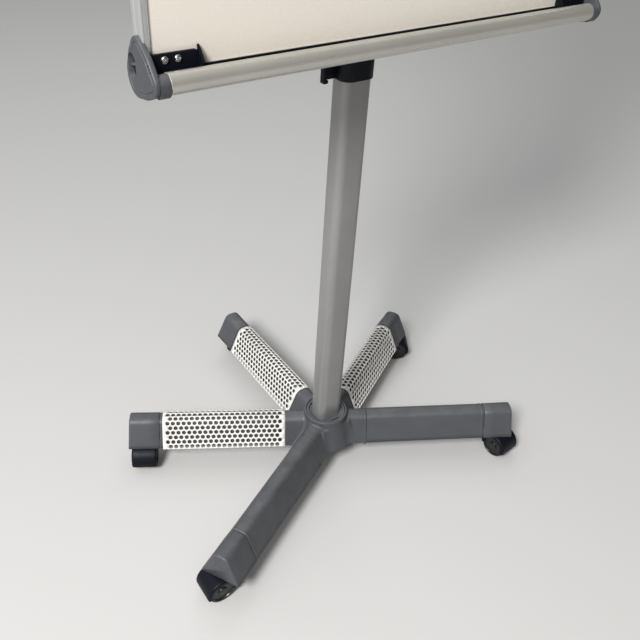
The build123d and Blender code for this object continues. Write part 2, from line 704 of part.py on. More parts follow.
for index, name in enumerate(["frame_bottom", "frame_right", "frame_top", "frame_left"]):
    after = (index + 1) % 4
    with BuildPart() as frame_bar:
        with BuildSketch(front_plane(BOARD_BACK_Y)):
            with BuildLine():
                Polyline(
                    outer_corners[index],
                    outer_corners[after],
                    inner_corners[after],
                    inner_corners[index],
                    close=True,
                )
            make_face()
        extrude(amount=BOARD_DEPTH)
        with BuildSketch(front_plane(groove_back_y)):
            with Locations((0, BOARD_MID_Z)):
                Rectangle(panel_w, panel_h)
        extrude(amount=groove_back_y - PANEL_FRONT_Y, mode=Mode.SUBTRACT)
    write(frame_bar, name)

with BuildPart() as writing_sheet:
    with BuildSketch(front_plane(PANEL_FRONT_Y + SHEET)):
        with Locations((0, BOARD_MID_Z)):
            Rectangle(panel_w, panel_h)
    extrude(amount=SHEET)
write(writing_sheet, "writing_sheet")

with BuildPart() as board_core:
    with BuildSketch(front_plane(PANEL_BACK_Y - SHEET)):
        with Locations((0, BOARD_MID_Z)):
            Rectangle(panel_w, panel_h)
    extrude(amount=CORE_BOARD)
    with BuildSketch(front_plane(PANEL_BACK_Y)):
        with Locations(*board_screw_points):
            Circle(BOARD_SCREW_R)
    extrude(amount=BOARD_SCREW_LENGTH - BRACKET_PLATE, mode=Mode.SUBTRACT)
write(board_core, "board_core")

with BuildPart() as back_sheet:
    with BuildSketch(front_plane(PANEL_BACK_Y)):
        with Locations((0, BOARD_MID_Z)):
            Rectangle(panel_w, panel_h)
        with Locations(*board_screw_points):
            Circle(BOARD_SCREW_R, mode=Mode.SUBTRACT)
    extrude(amount=SHEET)
write(back_sheet, "back_sheet")


# ---- pen tray --------------------------------------------------------------------------------------

with BuildPart() as tray_rail:
    with BuildSketch(side_plane(-RAIL_HALF)):
        with Locations((RAIL_Y, RAIL_Z)):
            Circle(RAIL_R)
            Circle(RAIL_R - RAIL_WALL, mode=Mode.SUBTRACT)
    extrude(amount=2 * RAIL_HALF)
write(tray_rail, "tray_rail")

with BuildPart() as tray_channel:
    with BuildSketch(side_plane(-PLATE_INNER_X)):
        with BuildLine():
            Polyline(
                (BOARD_FRONT_Y, TRAY_FLOOR_Z),
                (BOARD_FRONT_Y, TRAY_BACK_TOP_Z),
                (BOARD_FRONT_Y - TRAY_WALL, TRAY_BACK_TOP_Z),
                (BOARD_FRONT_Y - TRAY_WALL, TRAY_FLOOR_Z + TRAY_WALL),
                (TRAY_LIP_Y, TRAY_FLOOR_Z + TRAY_WALL),
                (TRAY_LIP_Y, TRAY_FLOOR_Z),
                close=True,
            )
        make_face()
    extrude(amount=2 * PLATE_INNER_X)
write(tray_channel, "tray_channel")

end_lobes = [
    (COLUMN_Y - 116, 860, 13.5),
    (COLUMN_Y - 79, 857, 23),
    (COLUMN_Y - 86, 887, 14),
]


def tray_end_outline(x, inset):
    """The end cheek's outline: the hull of three round lobes, drawn at x and shrunk by inset."""
    with BuildSketch(side_plane(x)) as outline:
        for lobe_y, lobe_z, lobe_r in end_lobes:
            with Locations((lobe_y, lobe_z)):
                Circle(lobe_r - inset)
        make_hull()
    return outline.sketch


for side, name in [(-1, "left"), (1, "right")]:
    with BuildPart() as tray_end:
        inner_x = side * END_INNER_X
        extrude(tray_end_outline(inner_x, 0), amount=side * (END_OUTER_X - END_INNER_X))
        chamfer(tray_end.faces().sort_by(Axis.X)[-1 if side > 0 else 0].edges(), END_CHAMFER)
        with BuildSketch(side_plane(side * RAIL_HALF)):
            with Locations((SLEEVE_Y, SLEEVE_Z)):
                Circle(SLEEVE_R)
        extrude(amount=side * (END_INNER_X - RAIL_HALF))
        with BuildSketch(side_plane(side * (RAIL_HALF - SPIGOT_LENGTH))):
            with Locations((RAIL_Y, RAIL_Z)):
                Circle(RAIL_R - RAIL_WALL)
        extrude(amount=side * (END_OUTER_X - END_CHAMFER - RAIL_HALF + SPIGOT_LENGTH))
        with BuildSketch(front_plane(BOARD_BACK_Y)):
            with Locations((0, BOARD_MID_Z)):
                Rectangle(BOARD_W, BOARD_H)
        extrude(amount=BOARD_DEPTH, mode=Mode.SUBTRACT)
        with BuildSketch(side_plane(side * END_OUTER_X)):
            with Locations((END_RECESS_Y, END_RECESS_Z)):
                SlotOverall(30, 12, rotation=80)
        extrude(amount=side * -END_RECESS_DEPTH, mode=Mode.SUBTRACT)
    write(tray_end, f"tray_end_{name}")

with BuildPart() as tray_brackets:
    for side in (-1, 1):
        plate_mid_x = side * (PLATE_INNER_X + END_INNER_X) / 2
        with BuildSketch(front_plane(BOARD_FRONT_Y)) as plate:
            with Locations((plate_mid_x, (TRAY_FLOOR_Z + PLATE_TOP_Z) / 2)):
                Rectangle(END_INNER_X - PLATE_INNER_X, PLATE_TOP_Z - TRAY_FLOOR_Z)
            top_corners = plate.vertices().group_by(Axis.Y)[-1]
            fillet(top_corners.sort_by(Axis.X)[0 if side > 0 else -1], PLATE_CORNER)
            with Locations(*[(side * x, TRAY_SCREW_Z) for x in TRAY_SCREW_XS]):
                Circle(TRAY_SCREW_R, mode=Mode.SUBTRACT)
        extrude(amount=PLATE_THICKNESS)
        with BuildSketch(side_plane(side * PLATE_INNER_X)):
            with BuildLine():
                Polyline(
                    (BOARD_FRONT_Y, TRAY_FLOOR_Z),
                    (BOARD_FRONT_Y, FIN_TOP_Z),
                    (FIN_NOSE_Y, RAIL_Z + RAIL_R + 1),
                    (TRAY_LIP_Y, RAIL_Z + 7),
                    (TRAY_LIP_Y, TRAY_FLOOR_Z),
                    close=True,
                )
            make_face()
        extrude(amount=side * FIN_THICKNESS)
write(tray_brackets, "tray_brackets")

tray_screw_points = [(side * x, TRAY_SCREW_Z) for side in (-1, 1) for x in TRAY_SCREW_XS]

with BuildPart() as tray_screws:
    with BuildSketch(front_plane(BOARD_FRONT_Y - PLATE_THICKNESS)):
        with Locations(*tray_screw_points):
            Circle(TRAY_SCREW_HEAD_R)
    extrude(amount=TRAY_SCREW_HEAD)
    fillet(tray_screws.edges().group_by(Axis.Y)[0], TRAY_SCREW_DOME)
    with BuildSketch(front_plane(BOARD_FRONT_Y)):
        with Locations(*tray_screw_points):
            Circle(TRAY_SCREW_R)
    extrude(amount=PLATE_THICKNESS)
    with BuildSketch(front_plane(BOARD_FRONT_Y - PLATE_THICKNESS - TRAY_SCREW_HEAD + SOCKET_KEY_DEPTH)):
        with Locations(*tray_screw_points):
            RegularPolygon(SOCKET_KEY_R, 6)
    extrude(amount=SOCKET_KEY_DEPTH, mode=Mode.SUBTRACT)
write(tray_screws, "tray_screws")


# ---- paper clamp -----------------------------------------------------------------------------------

with BuildPart() as head_rail:
    with BuildSketch(side_plane(-HEAD_HALF)):
        with BuildLine():
            Polyline(
                (BOARD_FRONT_Y, HEAD_BOTTOM_Z),
                (BOARD_FRONT_Y, HEAD_TOP_Z),
                (HEAD_FRONT_Y, HEAD_TOP_Z),
                (HEAD_FRONT_Y, HEAD_BOTTOM_Z),
                close=True,
            )
        make_face()
        with Locations(((HEAD_FRONT_Y + POCKET_BACK_Y) / 2, SLOT_Z)):
            Rectangle(POCKET_BACK_Y - HEAD_FRONT_Y, 2 * SLOT_HALF, mode=Mode.SUBTRACT)
        with Locations(((POCKET_FRONT_Y + POCKET_BACK_Y) / 2, SLOT_Z)):
            Rectangle(POCKET_BACK_Y - POCKET_FRONT_Y, 2 * POCKET_HALF, mode=Mode.SUBTRACT)
    extrude(amount=2 * HEAD_HALF)
write(head_rail, "head_rail")

with BuildPart() as head_caps:
    for side in (-1, 1):
        with BuildSketch(side_plane(side * HEAD_HALF)):
            with Locations(((BOARD_FRONT_Y + HEAD_FRONT_Y) / 2, (HEAD_TOP_Z + CLAMP_Z - HEAD_CAP_BELOW) / 2)):
                RectangleRounded(
                    BOARD_FRONT_Y - HEAD_FRONT_Y,
                    HEAD_TOP_Z - CLAMP_Z + HEAD_CAP_BELOW,
                    HEAD_CAP_CORNER,
                )
            with Locations((CLAMP_Y, CLAMP_Z)):
                Circle(CLAMP_PIN_R, mode=Mode.SUBTRACT)
        extrude(amount=side * (BOARD_W / 2 - HEAD_HALF))
write(head_caps, "head_caps")

with BuildPart() as clamp_pins:
    for side in (-1, 1):
        with BuildSketch(side_plane(side * (HEAD_HALF - CLAMP_PIN_REACH))):
            with Locations((CLAMP_Y, CLAMP_Z)):
                Circle(CLAMP_PIN_R)
        extrude(amount=side * CLAMP_PIN_LENGTH)
write(clamp_pins, "clamp_pins")

with BuildPart() as clamp_bar:
    with BuildSketch(side_plane(-CLAMP_HALF)):
        with Locations((CLAMP_Y, CLAMP_Z)):
            Circle(CLAMP_R)
        with Locations((CLAMP_Y, (CLAMP_Z + CLAMP_BOTTOM_Z) / 2)):
            Rectangle(2 * CLAMP_R, CLAMP_Z - CLAMP_BOTTOM_Z)
    extrude(amount=2 * CLAMP_HALF)
    with BuildSketch(side_plane(-CLAMP_HALF)):
        with Locations((CLAMP_Y, CLAMP_Z)):
            Circle(CLAMP_PIN_BORE_R)
    extrude(amount=2 * CLAMP_HALF, mode=Mode.SUBTRACT)
write(clamp_bar, "clamp_bar")

for side, name in [(-1, "left"), (1, "right")]:
    with BuildPart() as paper_stud:
        with BuildSketch(front_plane(POCKET_BACK_Y - STUD_GAP)):
            with Locations((side * STUD_X, SLOT_Z)):
                Rectangle(STUD_WIDTH, 2 * (POCKET_HALF - STUD_GAP))
        extrude(amount=POCKET_BACK_Y - POCKET_FRONT_Y - 2 * STUD_GAP)
        with BuildSketch(front_plane(POCKET_FRONT_Y + STUD_GAP)):
            with Locations((side * STUD_X, SLOT_Z)):
                Rectangle(STUD_NECK_WIDTH, 2 * (SLOT_HALF - STUD_GAP))
        extrude(amount=POCKET_FRONT_Y - HEAD_FRONT_Y + 2 * STUD_GAP)
        with BuildSketch(front_plane(HEAD_FRONT_Y - STUD_GAP)):
            with Locations((side * STUD_X, SLOT_Z)):
                Circle(STUD_KNOB_R)
        extrude(amount=STUD_KNOB)
        with BuildSketch(front_plane(HEAD_FRONT_Y - STUD_GAP - STUD_KNOB)):
            with Locations((side * STUD_X, SLOT_Z)):
                Circle(STUD_PIN_R)
        extrude(amount=HEAD_FRONT_Y - STUD_GAP - STUD_KNOB - STUD_PIN_TIP_Y)
        chamfer(paper_stud.edges().group_by(Axis.Y)[0], STUD_TIP_CHAMFER)
    write(paper_stud, f"paper_stud_{name}")
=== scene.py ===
import json
from math import atan, atan2, cos, hypot, pi, radians, sin, tan

import bmesh
import bpy
import numpy as np
from mathutils import Matrix, Vector
from mathutils.geometry import convex_hull_2d, delaunay_2d_cdt


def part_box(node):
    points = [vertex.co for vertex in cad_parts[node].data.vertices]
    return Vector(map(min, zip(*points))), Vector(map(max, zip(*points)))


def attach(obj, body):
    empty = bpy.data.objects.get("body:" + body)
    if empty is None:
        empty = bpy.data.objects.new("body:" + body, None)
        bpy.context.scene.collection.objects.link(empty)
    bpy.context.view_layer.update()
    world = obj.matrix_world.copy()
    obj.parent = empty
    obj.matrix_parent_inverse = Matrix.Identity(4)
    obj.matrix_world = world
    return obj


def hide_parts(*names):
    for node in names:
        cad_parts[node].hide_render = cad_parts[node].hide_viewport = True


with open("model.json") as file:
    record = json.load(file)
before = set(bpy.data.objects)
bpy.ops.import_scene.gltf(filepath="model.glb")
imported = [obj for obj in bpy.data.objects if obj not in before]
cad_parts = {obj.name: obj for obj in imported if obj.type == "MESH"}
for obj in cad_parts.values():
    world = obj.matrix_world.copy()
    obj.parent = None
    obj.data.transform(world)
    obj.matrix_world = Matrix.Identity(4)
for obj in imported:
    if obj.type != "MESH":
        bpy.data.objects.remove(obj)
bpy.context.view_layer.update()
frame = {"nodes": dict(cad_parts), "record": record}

MM = 0.001

# ---- sizes in millimetres, some read from the imported part and the rest given -------------------


def cad_box(node):
    low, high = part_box(node)
    return np.array(low) / MM, np.array(high) / MM


tube_low, tube_high = cad_box("column_tube")
COLUMN_Y = (tube_low[1] + tube_high[1]) / 2
COLUMN_W, COLUMN_D, COLUMN_CORNER = 51.0, 39.0, 13.0
ARM_NAMES = ["front_right", "rear_right", "rear", "rear_left", "front_left"]
ARM_ANGLES = [-28.5, 30.0, 90.0, 150.0, 208.5]
CASTER_TRAILS = [-85.0, -33.0, 60.0, 240.0, 180.0]
CASTER_R, TRAIL, WHEEL_R = 354.0, 24.0, 25.0
HUB_R, CAP_R, TIP_R = 81.0, 323.0, 383.0
BOTTOM_Z, TOP_Z = 54.5, 107.0
HALF_BOTTOM, HALF_TOP, TOP_RADIUS = 35.5, 12.5, 13.0
SLOPE = (HALF_BOTTOM - HALF_TOP) / (TOP_Z - BOTTOM_Z)
GUARD_START, GUARD_END = 80.0, 317.0
REAR_INSET, REAR_SQUEEZE = 3.0, 1.5   # a rear arm is slimmer under its guard, most at its foot
HOLE_R, HOLE_PITCH, ROW_STEP = 4.0, 10.33, 8.95
HOLES_PER_ROW, HOLE_SIDES = 22, 20    # every other row holds one hole less
LOWEST_ROW = 4.3                      # the lowest row of holes above the guard's foot
RAIL_R = 12.0
RAIL_EDGE = 0.4                       # the soft edge at each end of the tray rail
rail_low, rail_high = cad_box("tray_rail")
RAIL_Y, RAIL_Z = (rail_low[1] + rail_high[1]) / 2, (rail_low[2] + rail_high[2]) / 2
BOARD_W, BOARD_H, BOARD_BOTTOM_Z = 700.0, 1000.0, 858.0
BOARD_FRONT_Y = cad_box("frame_left")[0][1]
BOARD_BACK_Y = cad_box("frame_left")[1][1]


# ---- materials ---------------------------------------------------------------------------------

def new_material(name):
    mat = bpy.data.materials.new(name)
    mat.use_nodes = True
    nodes = mat.node_tree.nodes
    return mat, nodes, mat.node_tree.links, nodes["Principled BSDF"]


def surface(name, base, shade, dust_and_top_light, rough, metallic=0.0, grain=(1800.0, 0.00008), blotch=9.0,
            stretch=(1.0, 1.0, 1.0), dust_and_top_light_amount=0.5, specular=0.5, coat=0.0, speck=0.0):
    """A painted, moulded or metal surface: cloudy colour, dust with painted top light on what faces
    up, and a fine grain.
    """
    mat, nodes, links, shader = new_material(name)
    shader.inputs["Metallic"].default_value = metallic
    shader.inputs["Specular IOR Level"].default_value = specular
    shader.inputs["Coat Weight"].default_value = coat
    coords = nodes.new("ShaderNodeTexCoord")
    mapping = nodes.new("ShaderNodeMapping")
    mapping.inputs["Scale"].default_value = stretch
    links.new(coords.outputs["Object"], mapping.inputs["Vector"])

    def noise(scale, detail, source, roughness=0.55):
        node = nodes.new("ShaderNodeTexNoise")
        node.inputs["Scale"].default_value = scale
        node.inputs["Detail"].default_value = detail
        node.inputs["Roughness"].default_value = roughness
        links.new(source, node.inputs["Vector"])
        return node.outputs["Fac"]

    def remap(value, low, high, to_low, to_high):
        node = nodes.new("ShaderNodeMapRange")
        links.new(value, node.inputs["Value"])
        for key, number in (("From Min", low), ("From Max", high), ("To Min", to_low),
                            ("To Max", to_high)):
            node.inputs[key].default_value = number
        return node.outputs["Result"]

    def mix(factor, first, second):
        node = nodes.new("ShaderNodeMix")
        node.data_type = "RGBA"
        links.new(factor, node.inputs["Factor"])
        for socket, value in ((node.inputs["A"], first), (node.inputs["B"], second)):
            if isinstance(value, tuple):
                socket.default_value = (*value, 1.0)
            else:
                links.new(value, socket)
        return node.outputs["Result"]

    clouds = noise(blotch, 5.0, coords.outputs["Object"])
    streaks = noise(55.0, 4.0, mapping.outputs["Vector"], 0.65)
    fine = noise(grain[0], 2.0, mapping.outputs["Vector"])
    colour = mix(remap(clouds, 0.35, 0.68, 0.0, 1.0), base, shade)
    colour = mix(remap(streaks, 0.3, 0.75, 0.0, 0.35), colour, shade)
    if speck:
        colour = mix(remap(fine, 0.5, 0.72, 0.0, speck), colour, dust_and_top_light)
    # what faces up blends towards the dust colour: partly real dust, partly painted light that makes
    # the tops lighter as if lit from above
    geometry = nodes.new("ShaderNodeNewGeometry")
    split = nodes.new("ShaderNodeSeparateXYZ")
    links.new(geometry.outputs["Normal"], split.inputs["Vector"])
    facing_up = remap(split.outputs["Z"], 0.25, 1.0, 0.0, dust_and_top_light_amount)
    patch = remap(noise(26.0, 6.0, coords.outputs["Object"], 0.7), 0.4, 0.75, 0.25, 1.0)
    dust_and_top_light_mask = nodes.new("ShaderNodeMath")
    dust_and_top_light_mask.operation = "MULTIPLY"
    links.new(facing_up, dust_and_top_light_mask.inputs[0])
    links.new(patch, dust_and_top_light_mask.inputs[1])
    colour = mix(dust_and_top_light_mask.outputs[0], colour, dust_and_top_light)
    links.new(colour, shader.inputs["Base Color"])
    links.new(remap(streaks, 0.3, 0.7, rough[0], rough[1]), shader.inputs["Roughness"])
    bump = nodes.new("ShaderNodeBump")
    bump.inputs["Strength"].default_value = 1.0
    bump.inputs["Distance"].default_value = grain[1]
    links.new(fine, bump.inputs["Height"])
    links.new(bump.outputs["Normal"], shader.inputs["Normal"])
    return mat


FINISHES = {  # the first three colours are the base, its cloudy shade and the dust colour, which also paints light onto the tops
    "grey_plastic": dict(
        base=(0.056, 0.061, 0.070), shade=(0.040, 0.044, 0.051), dust_and_top_light=(0.16, 0.163, 0.165),
        rough=(0.42, 0.58), grain=(1500.0, 0.00011), specular=0.5, dust_and_top_light_amount=0.5, speck=0.28),
    "black_plastic": dict(
        base=(0.0030, 0.0042, 0.0090), shade=(0.002, 0.0027, 0.006), dust_and_top_light=(0.02, 0.023, 0.032),
        rough=(0.42, 0.56), grain=(1500.0, 0.00009), specular=0.16, dust_and_top_light_amount=0.18),
    "caster_nylon": dict(
        base=(0.005, 0.005, 0.006), shade=(0.009, 0.009, 0.010), dust_and_top_light=(0.04, 0.04, 0.038),
        rough=(0.24, 0.40), grain=(900.0, 0.00005), specular=0.45, dust_and_top_light_amount=0.25),
    "white_guard": dict(
        base=(0.74, 0.73, 0.70), shade=(0.69, 0.68, 0.64), dust_and_top_light=(0.62, 0.60, 0.56),
        rough=(0.34, 0.48), grain=(700.0, 0.00005), specular=0.5, dust_and_top_light_amount=0.1),
    "silver_paint": dict(
        base=(0.27, 0.27, 0.272), shade=(0.24, 0.238, 0.235), dust_and_top_light=(0.33, 0.33, 0.32),
        rough=(0.30, 0.40), metallic=0.45, grain=(1600.0, 0.00005), stretch=(1.0, 1.0, 0.08),
        dust_and_top_light_amount=0.1, speck=0.15),
    "black_steel": dict(
        base=(0.010, 0.010, 0.013), shade=(0.007, 0.007, 0.009), dust_and_top_light=(0.05, 0.05, 0.05),
        rough=(0.38, 0.52), grain=(900.0, 0.00006), dust_and_top_light_amount=0.3),
    "bare_steel": dict(
        base=(0.66, 0.66, 0.65), shade=(0.55, 0.55, 0.54), dust_and_top_light=(0.68, 0.67, 0.64),
        rough=(0.20, 0.34), metallic=1.0, grain=(1200.0, 0.00003), dust_and_top_light_amount=0.1),
    "satin_aluminium": dict(
        base=(0.52, 0.515, 0.47), shade=(0.47, 0.46, 0.42), dust_and_top_light=(0.56, 0.55, 0.52),
        rough=(0.24, 0.34), metallic=0.6, grain=(1400.0, 0.00003), stretch=(0.05, 1.0, 1.0),
        dust_and_top_light_amount=0.1),
    "upright_aluminium": dict(
        base=(0.50, 0.51, 0.51), shade=(0.45, 0.46, 0.46), dust_and_top_light=(0.54, 0.54, 0.53),
        rough=(0.28, 0.40), metallic=0.55, grain=(1400.0, 0.00003), stretch=(1.0, 1.0, 0.05),
        dust_and_top_light_amount=0.1),
    "writing_enamel": dict(
        base=(0.72, 0.675, 0.605), shade=(0.705, 0.66, 0.59), dust_and_top_light=(0.66, 0.62, 0.55),
        rough=(0.22, 0.36), grain=(260.0, 0.00002), blotch=3.0, dust_and_top_light_amount=0.0, coat=0.2),
    "fibre_core": dict(
        base=(0.36, 0.27, 0.18), shade=(0.27, 0.20, 0.13), dust_and_top_light=(0.42, 0.33, 0.24),
        rough=(0.7, 0.85), grain=(900.0, 0.00030), dust_and_top_light_amount=0.2, speck=0.4),
    "back_metal": dict(
        base=(0.52, 0.52, 0.51), shade=(0.46, 0.46, 0.45), dust_and_top_light=(0.56, 0.55, 0.53),
        rough=(0.30, 0.42), metallic=0.8, grain=(800.0, 0.00003), stretch=(1.0, 1.0, 0.06),
        blotch=4.0, dust_and_top_light_amount=0.1),
}
MATERIALS = {name: surface(name, **finish) for name, finish in FINISHES.items()}


# ---- mesh helpers ------------------------------------------------------------------------------

def finish_mesh(bm, mesh, sharp):
    """Faces outwards, smooth shading, and hard edges above the sharp angle, in degrees."""
    bmesh.ops.recalc_face_normals(bm, faces=bm.faces)
    centre = sum((f.calc_center_median() for f in bm.faces), Vector()) / len(bm.faces)
    outward = sum((f.calc_center_median() - centre).dot(f.normal) * f.calc_area() for f in bm.faces)
    if outward < 0:
        bmesh.ops.reverse_faces(bm, faces=bm.faces)
    for face in bm.faces:
        face.smooth = True
    for edge in bm.edges:
        if len(edge.link_faces) == 2:
            edge.smooth = edge.calc_face_angle(0.0) < radians(sharp)
    bm.to_mesh(mesh)
    bm.free()


def piece(name, points, faces, body, slot, material=None, sharp=35.0, replaces=(), shell=0.0, cuts=()):
    """A mesh piece in millimetres that rides on a body and takes a slot's finish."""
    mesh = bpy.data.meshes.new(name)
    mesh.from_pydata([tuple(float(c) * MM for c in p) for p in points], [],
                     [[int(i) for i in f] for f in faces])
    bm = bmesh.new()
    bm.from_mesh(mesh)
    bmesh.ops.remove_doubles(bm, verts=bm.verts, dist=2e-6)
    for point, normal in cuts:
        geometry = [*bm.verts, *bm.edges, *bm.faces]
        bmesh.ops.bisect_plane(bm, geom=geometry, plane_co=[c * MM for c in point], plane_no=normal,
                               clear_outer=True, dist=1e-7)
    finish_mesh(bm, mesh, sharp)
    mesh.materials.append(MATERIALS[material or slot])
    obj = bpy.data.objects.new(name, mesh)
    bpy.context.scene.collection.objects.link(obj)
    if shell:
        solid = obj.modifiers.new("shell", "SOLIDIFY")
        solid.thickness = shell * MM
        solid.offset = -1.0
        solid.use_even_offset = True
    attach(obj, body)
    if replaces:
        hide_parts(*replaces)
    return obj


def add_bevel(obj, width, angle=32.0):
    rounding = obj.modifiers.new("edges", "BEVEL")
    rounding.width = width * MM
    rounding.segments = 3
    rounding.limit_method = "ANGLE"
    rounding.angle_limit = radians(angle)
    rounding.harden_normals = True
    rounding.use_clamp_overlap = True


def loft(loops, wrap=True, cap_start=True, cap_end=True):
    """Quads between matching loops, with a face over each end where asked."""
    count = len(loops[0])
    points = np.concatenate([np.asarray(loop, float) for loop in loops])
    faces = []
    for level in range(len(loops) - 1):
        for i in range(count if wrap else count - 1):
            a, b = level * count + i, level * count + (i + 1) % count
            faces.append((a, b, b + count, a + count))
    if cap_start:
        faces.append(tuple(reversed(range(count))))
    if cap_end:
        faces.append(tuple(range((len(loops) - 1) * count, len(loops) * count)))
    return points, faces


def merge(*parts):
    """Several (points, faces) pairs as one."""
    points, faces, offset = [], [], 0
    for part_points, part_faces in parts:
        points.append(np.asarray(part_points, float))
        faces += [tuple(i + offset for i in f) for f in part_faces]
        offset += len(part_points)
    return np.concatenate(points), faces


def lathe(profile, origin, axis, start, count=64):
    """A turned shape whose closed profile holds (radius, height along the axis) pairs."""
    axis, start = Vector(axis).normalized(), Vector(start).normalized()
    side = axis.cross(start)
    loops = []
    for i in range(count):
        turn = 2 * pi * i / count
        out = start * cos(turn) + side * sin(turn)
        loops.append([Vector(origin) + out * r + axis * h for r, h in profile])
    points = [p for loop in loops for p in loop]
    size = len(profile)
    faces = []
    for i in range(count):
        for j in range(size):
            a, b = i * size + j, i * size + (j + 1) % size
            c, d = ((i + 1) % count) * size + (j + 1) % size, ((i + 1) % count) * size + j
            faces.append((a, b, c, d))
    return points, faces


def arc(cx, cy, r, start, end, count):
    return [(cx + r * cos(radians(start + (end - start) * i / count)),
             cy + r * sin(radians(start + (end - start) * i / count))) for i in range(count + 1)]


def rounded_rect(width, depth, corner, count=10):
    """A rounded rectangle's outline about the origin."""
    x, y = width / 2 - corner, depth / 2 - corner
    points = []
    for cx, cy, start in ((x, y, 0), (-x, y, 90), (-x, -y, 180), (x, -y, 270)):
        points += arc(cx, cy, corner, start, start + 90, count)
    return points


def column_loop(z, grow, width, depth, corner):
    """A tube's rounded outline about the column's axis at height z, grown by grow."""
    outline = rounded_rect(width + 2 * grow, depth + 2 * grow, corner + grow)
    return [(x, COLUMN_Y + y, z) for x, y in outline]


# ---- the star base: arms, end caps and guards --------------------------------------------------

def arm_profile(inset=0.0, bottom=BOTTOM_Z, squeeze=0.0, arc_count=10, side_count=6):
    """An arm's section from its right foot over the top to its left foot, as (across, height)."""
    lean = inset * hypot(1, SLOPE)
    top = TOP_Z - inset
    half_top = HALF_TOP + SLOPE * inset - lean
    half_bottom = HALF_BOTTOM + SLOPE * (BOTTOM_Z - bottom) - lean
    radius = TOP_RADIUS - inset
    reach = radius / tan((pi / 2 + atan(SLOPE)) / 2)
    rounding = arc(half_top - reach, top - radius, radius, np.degrees(atan(SLOPE)), 90, arc_count)
    foot = (half_bottom, bottom)
    side = [(foot[0] + (rounding[0][0] - foot[0]) * t / side_count,
             foot[1] + (rounding[0][1] - foot[1]) * t / side_count) for t in range(side_count)]
    half = [(w - squeeze * max(0.0, (rounding[0][1] - z) / (rounding[0][1] - bottom)), z)
            for w, z in side + rounding]
    return half + [(-w, z) for w, z in reversed(half)]


def on_arm(angle, r, w, z):
    """The point r along an arm, w across it and z above the floor."""
    c, s = cos(radians(angle)), sin(radians(angle))
    return (r * c - w * s, COLUMN_Y + r * s + w * c, z)


def arm_surface(angle, stations, rake=0.0, **options):
    """Open loops along an arm through (radius, inset) stations, leaning back by rake at the tip."""
    loops = []
    for r, inset in stations:
        loop = []
        for w, z in arm_profile(inset, **options):
            lean = rake * (z - BOTTOM_Z) / (TOP_Z - BOTTOM_Z) * max(0.0, (r - CAP_R) / (TIP_R - CAP_R))
            loop.append(on_arm(angle, r - lean, w, z))
        loops.append(loop)
    return loops


# stations: how far from the column, how far inside the arm's full section
PLAIN_ARM = [
    (81.3, 0.7), (81.8, 0.1), (82.6, 0.0), (120.0, 0.0), (200.0, 0.0), (280.0, 0.0), (316.0, 0.0),
    (316.5, -0.5), (317.0, -0.7), (319.4, -0.7), (319.9, -0.5), (320.4, 0.0), (322.3, 0.0),
    (322.8, 0.7)]
ARM_SHELL, REAR_SHELL, CAP_SHELL, GUARD_SHELL, HUB_SHELL = 2.5, 2.0, 2.5, 1.2, 2.5
for index in (0, 4):
    name = ARM_NAMES[index]
    points, faces = loft(arm_surface(ARM_ANGLES[index], PLAIN_ARM), wrap=False, cap_start=False,
                         cap_end=False)
    piece(f"arm_skin_{name}", points, faces, "base", "grey_plastic", shell=ARM_SHELL,
          replaces=[f"arm_cover_{name}"])

UNDER_GUARD = [(r, REAR_INSET) for r in (81.3, 120.0, 200.0, 280.0, 317.2)]
UNDER_GUARD += [(317.4, 0.6), (317.8, 0.0), (322.3, 0.0), (322.8, 0.7)]
for index in (1, 2, 3):
    loops = arm_surface(ARM_ANGLES[index], UNDER_GUARD)
    slim = arm_surface(ARM_ANGLES[index], UNDER_GUARD, squeeze=REAR_SQUEEZE)
    loops = [slim[i] if UNDER_GUARD[i][1] == REAR_INSET else loops[i] for i in range(len(loops))]
    points, faces = loft(loops, wrap=False, cap_start=False, cap_end=False)
    piece(f"arm_skin_{ARM_NAMES[index]}", points, faces, "base", "grey_plastic", shell=REAR_SHELL,
          replaces=["rear_arm_covers"] if index == 1 else ())

# the hub's end bands on the plain arms, each reaching a little below the arm's foot
BAND_STATIONS = [(76.6, 0.6), (77.0, -0.35), (77.5, -0.55), (80.0, -0.55), (80.6, -0.35), (80.9, 0.6)]
BAND_BOTTOM_Z, BAND_INNER = BOTTOM_Z - 2.2, 1.6
for index in (0, 4):
    angle = ARM_ANGLES[index]
    band = []
    for r, inset in BAND_STATIONS:
        outer = arm_profile(inset, bottom=BAND_BOTTOM_Z)
        inner = arm_profile(BAND_INNER, bottom=BAND_BOTTOM_Z)
        band.append([on_arm(angle, r, w, z) for w, z in outer + inner[::-1]])
    points, faces = loft(band)
    piece(f"hub_band_{ARM_NAMES[index]}", points, faces, "base", "grey_plastic")

CAP_ROUND, CAP_PROUD, CAP_RAKE = 2.8, 1.0, 3.0
for index, angle in enumerate(ARM_ANGLES):
    stations = [(323.1, 0.3), (323.4, -0.3), (323.9, -0.6), (345.0, -0.7), (365.0, -0.9)]
    stations.append((378.0, -CAP_PROUD))
    for i in range(9):
        turn = pi / 2 * i / 8
        stations.append((TIP_R - CAP_ROUND + CAP_ROUND * sin(turn),
                         -CAP_PROUD + CAP_ROUND * (1 - cos(turn))))
    loops = arm_surface(angle, stations, rake=CAP_RAKE)
    points, faces = loft(loops, wrap=False, cap_start=False)
    piece(f"cap_skin_{ARM_NAMES[index]}", points, faces, "base", "grey_plastic", shell=CAP_SHELL,
          replaces=[f"end_cap_{ARM_NAMES[index]}"])


GUARD_PROUD = 2.0                     # the guard stands this far outside the arm's full section


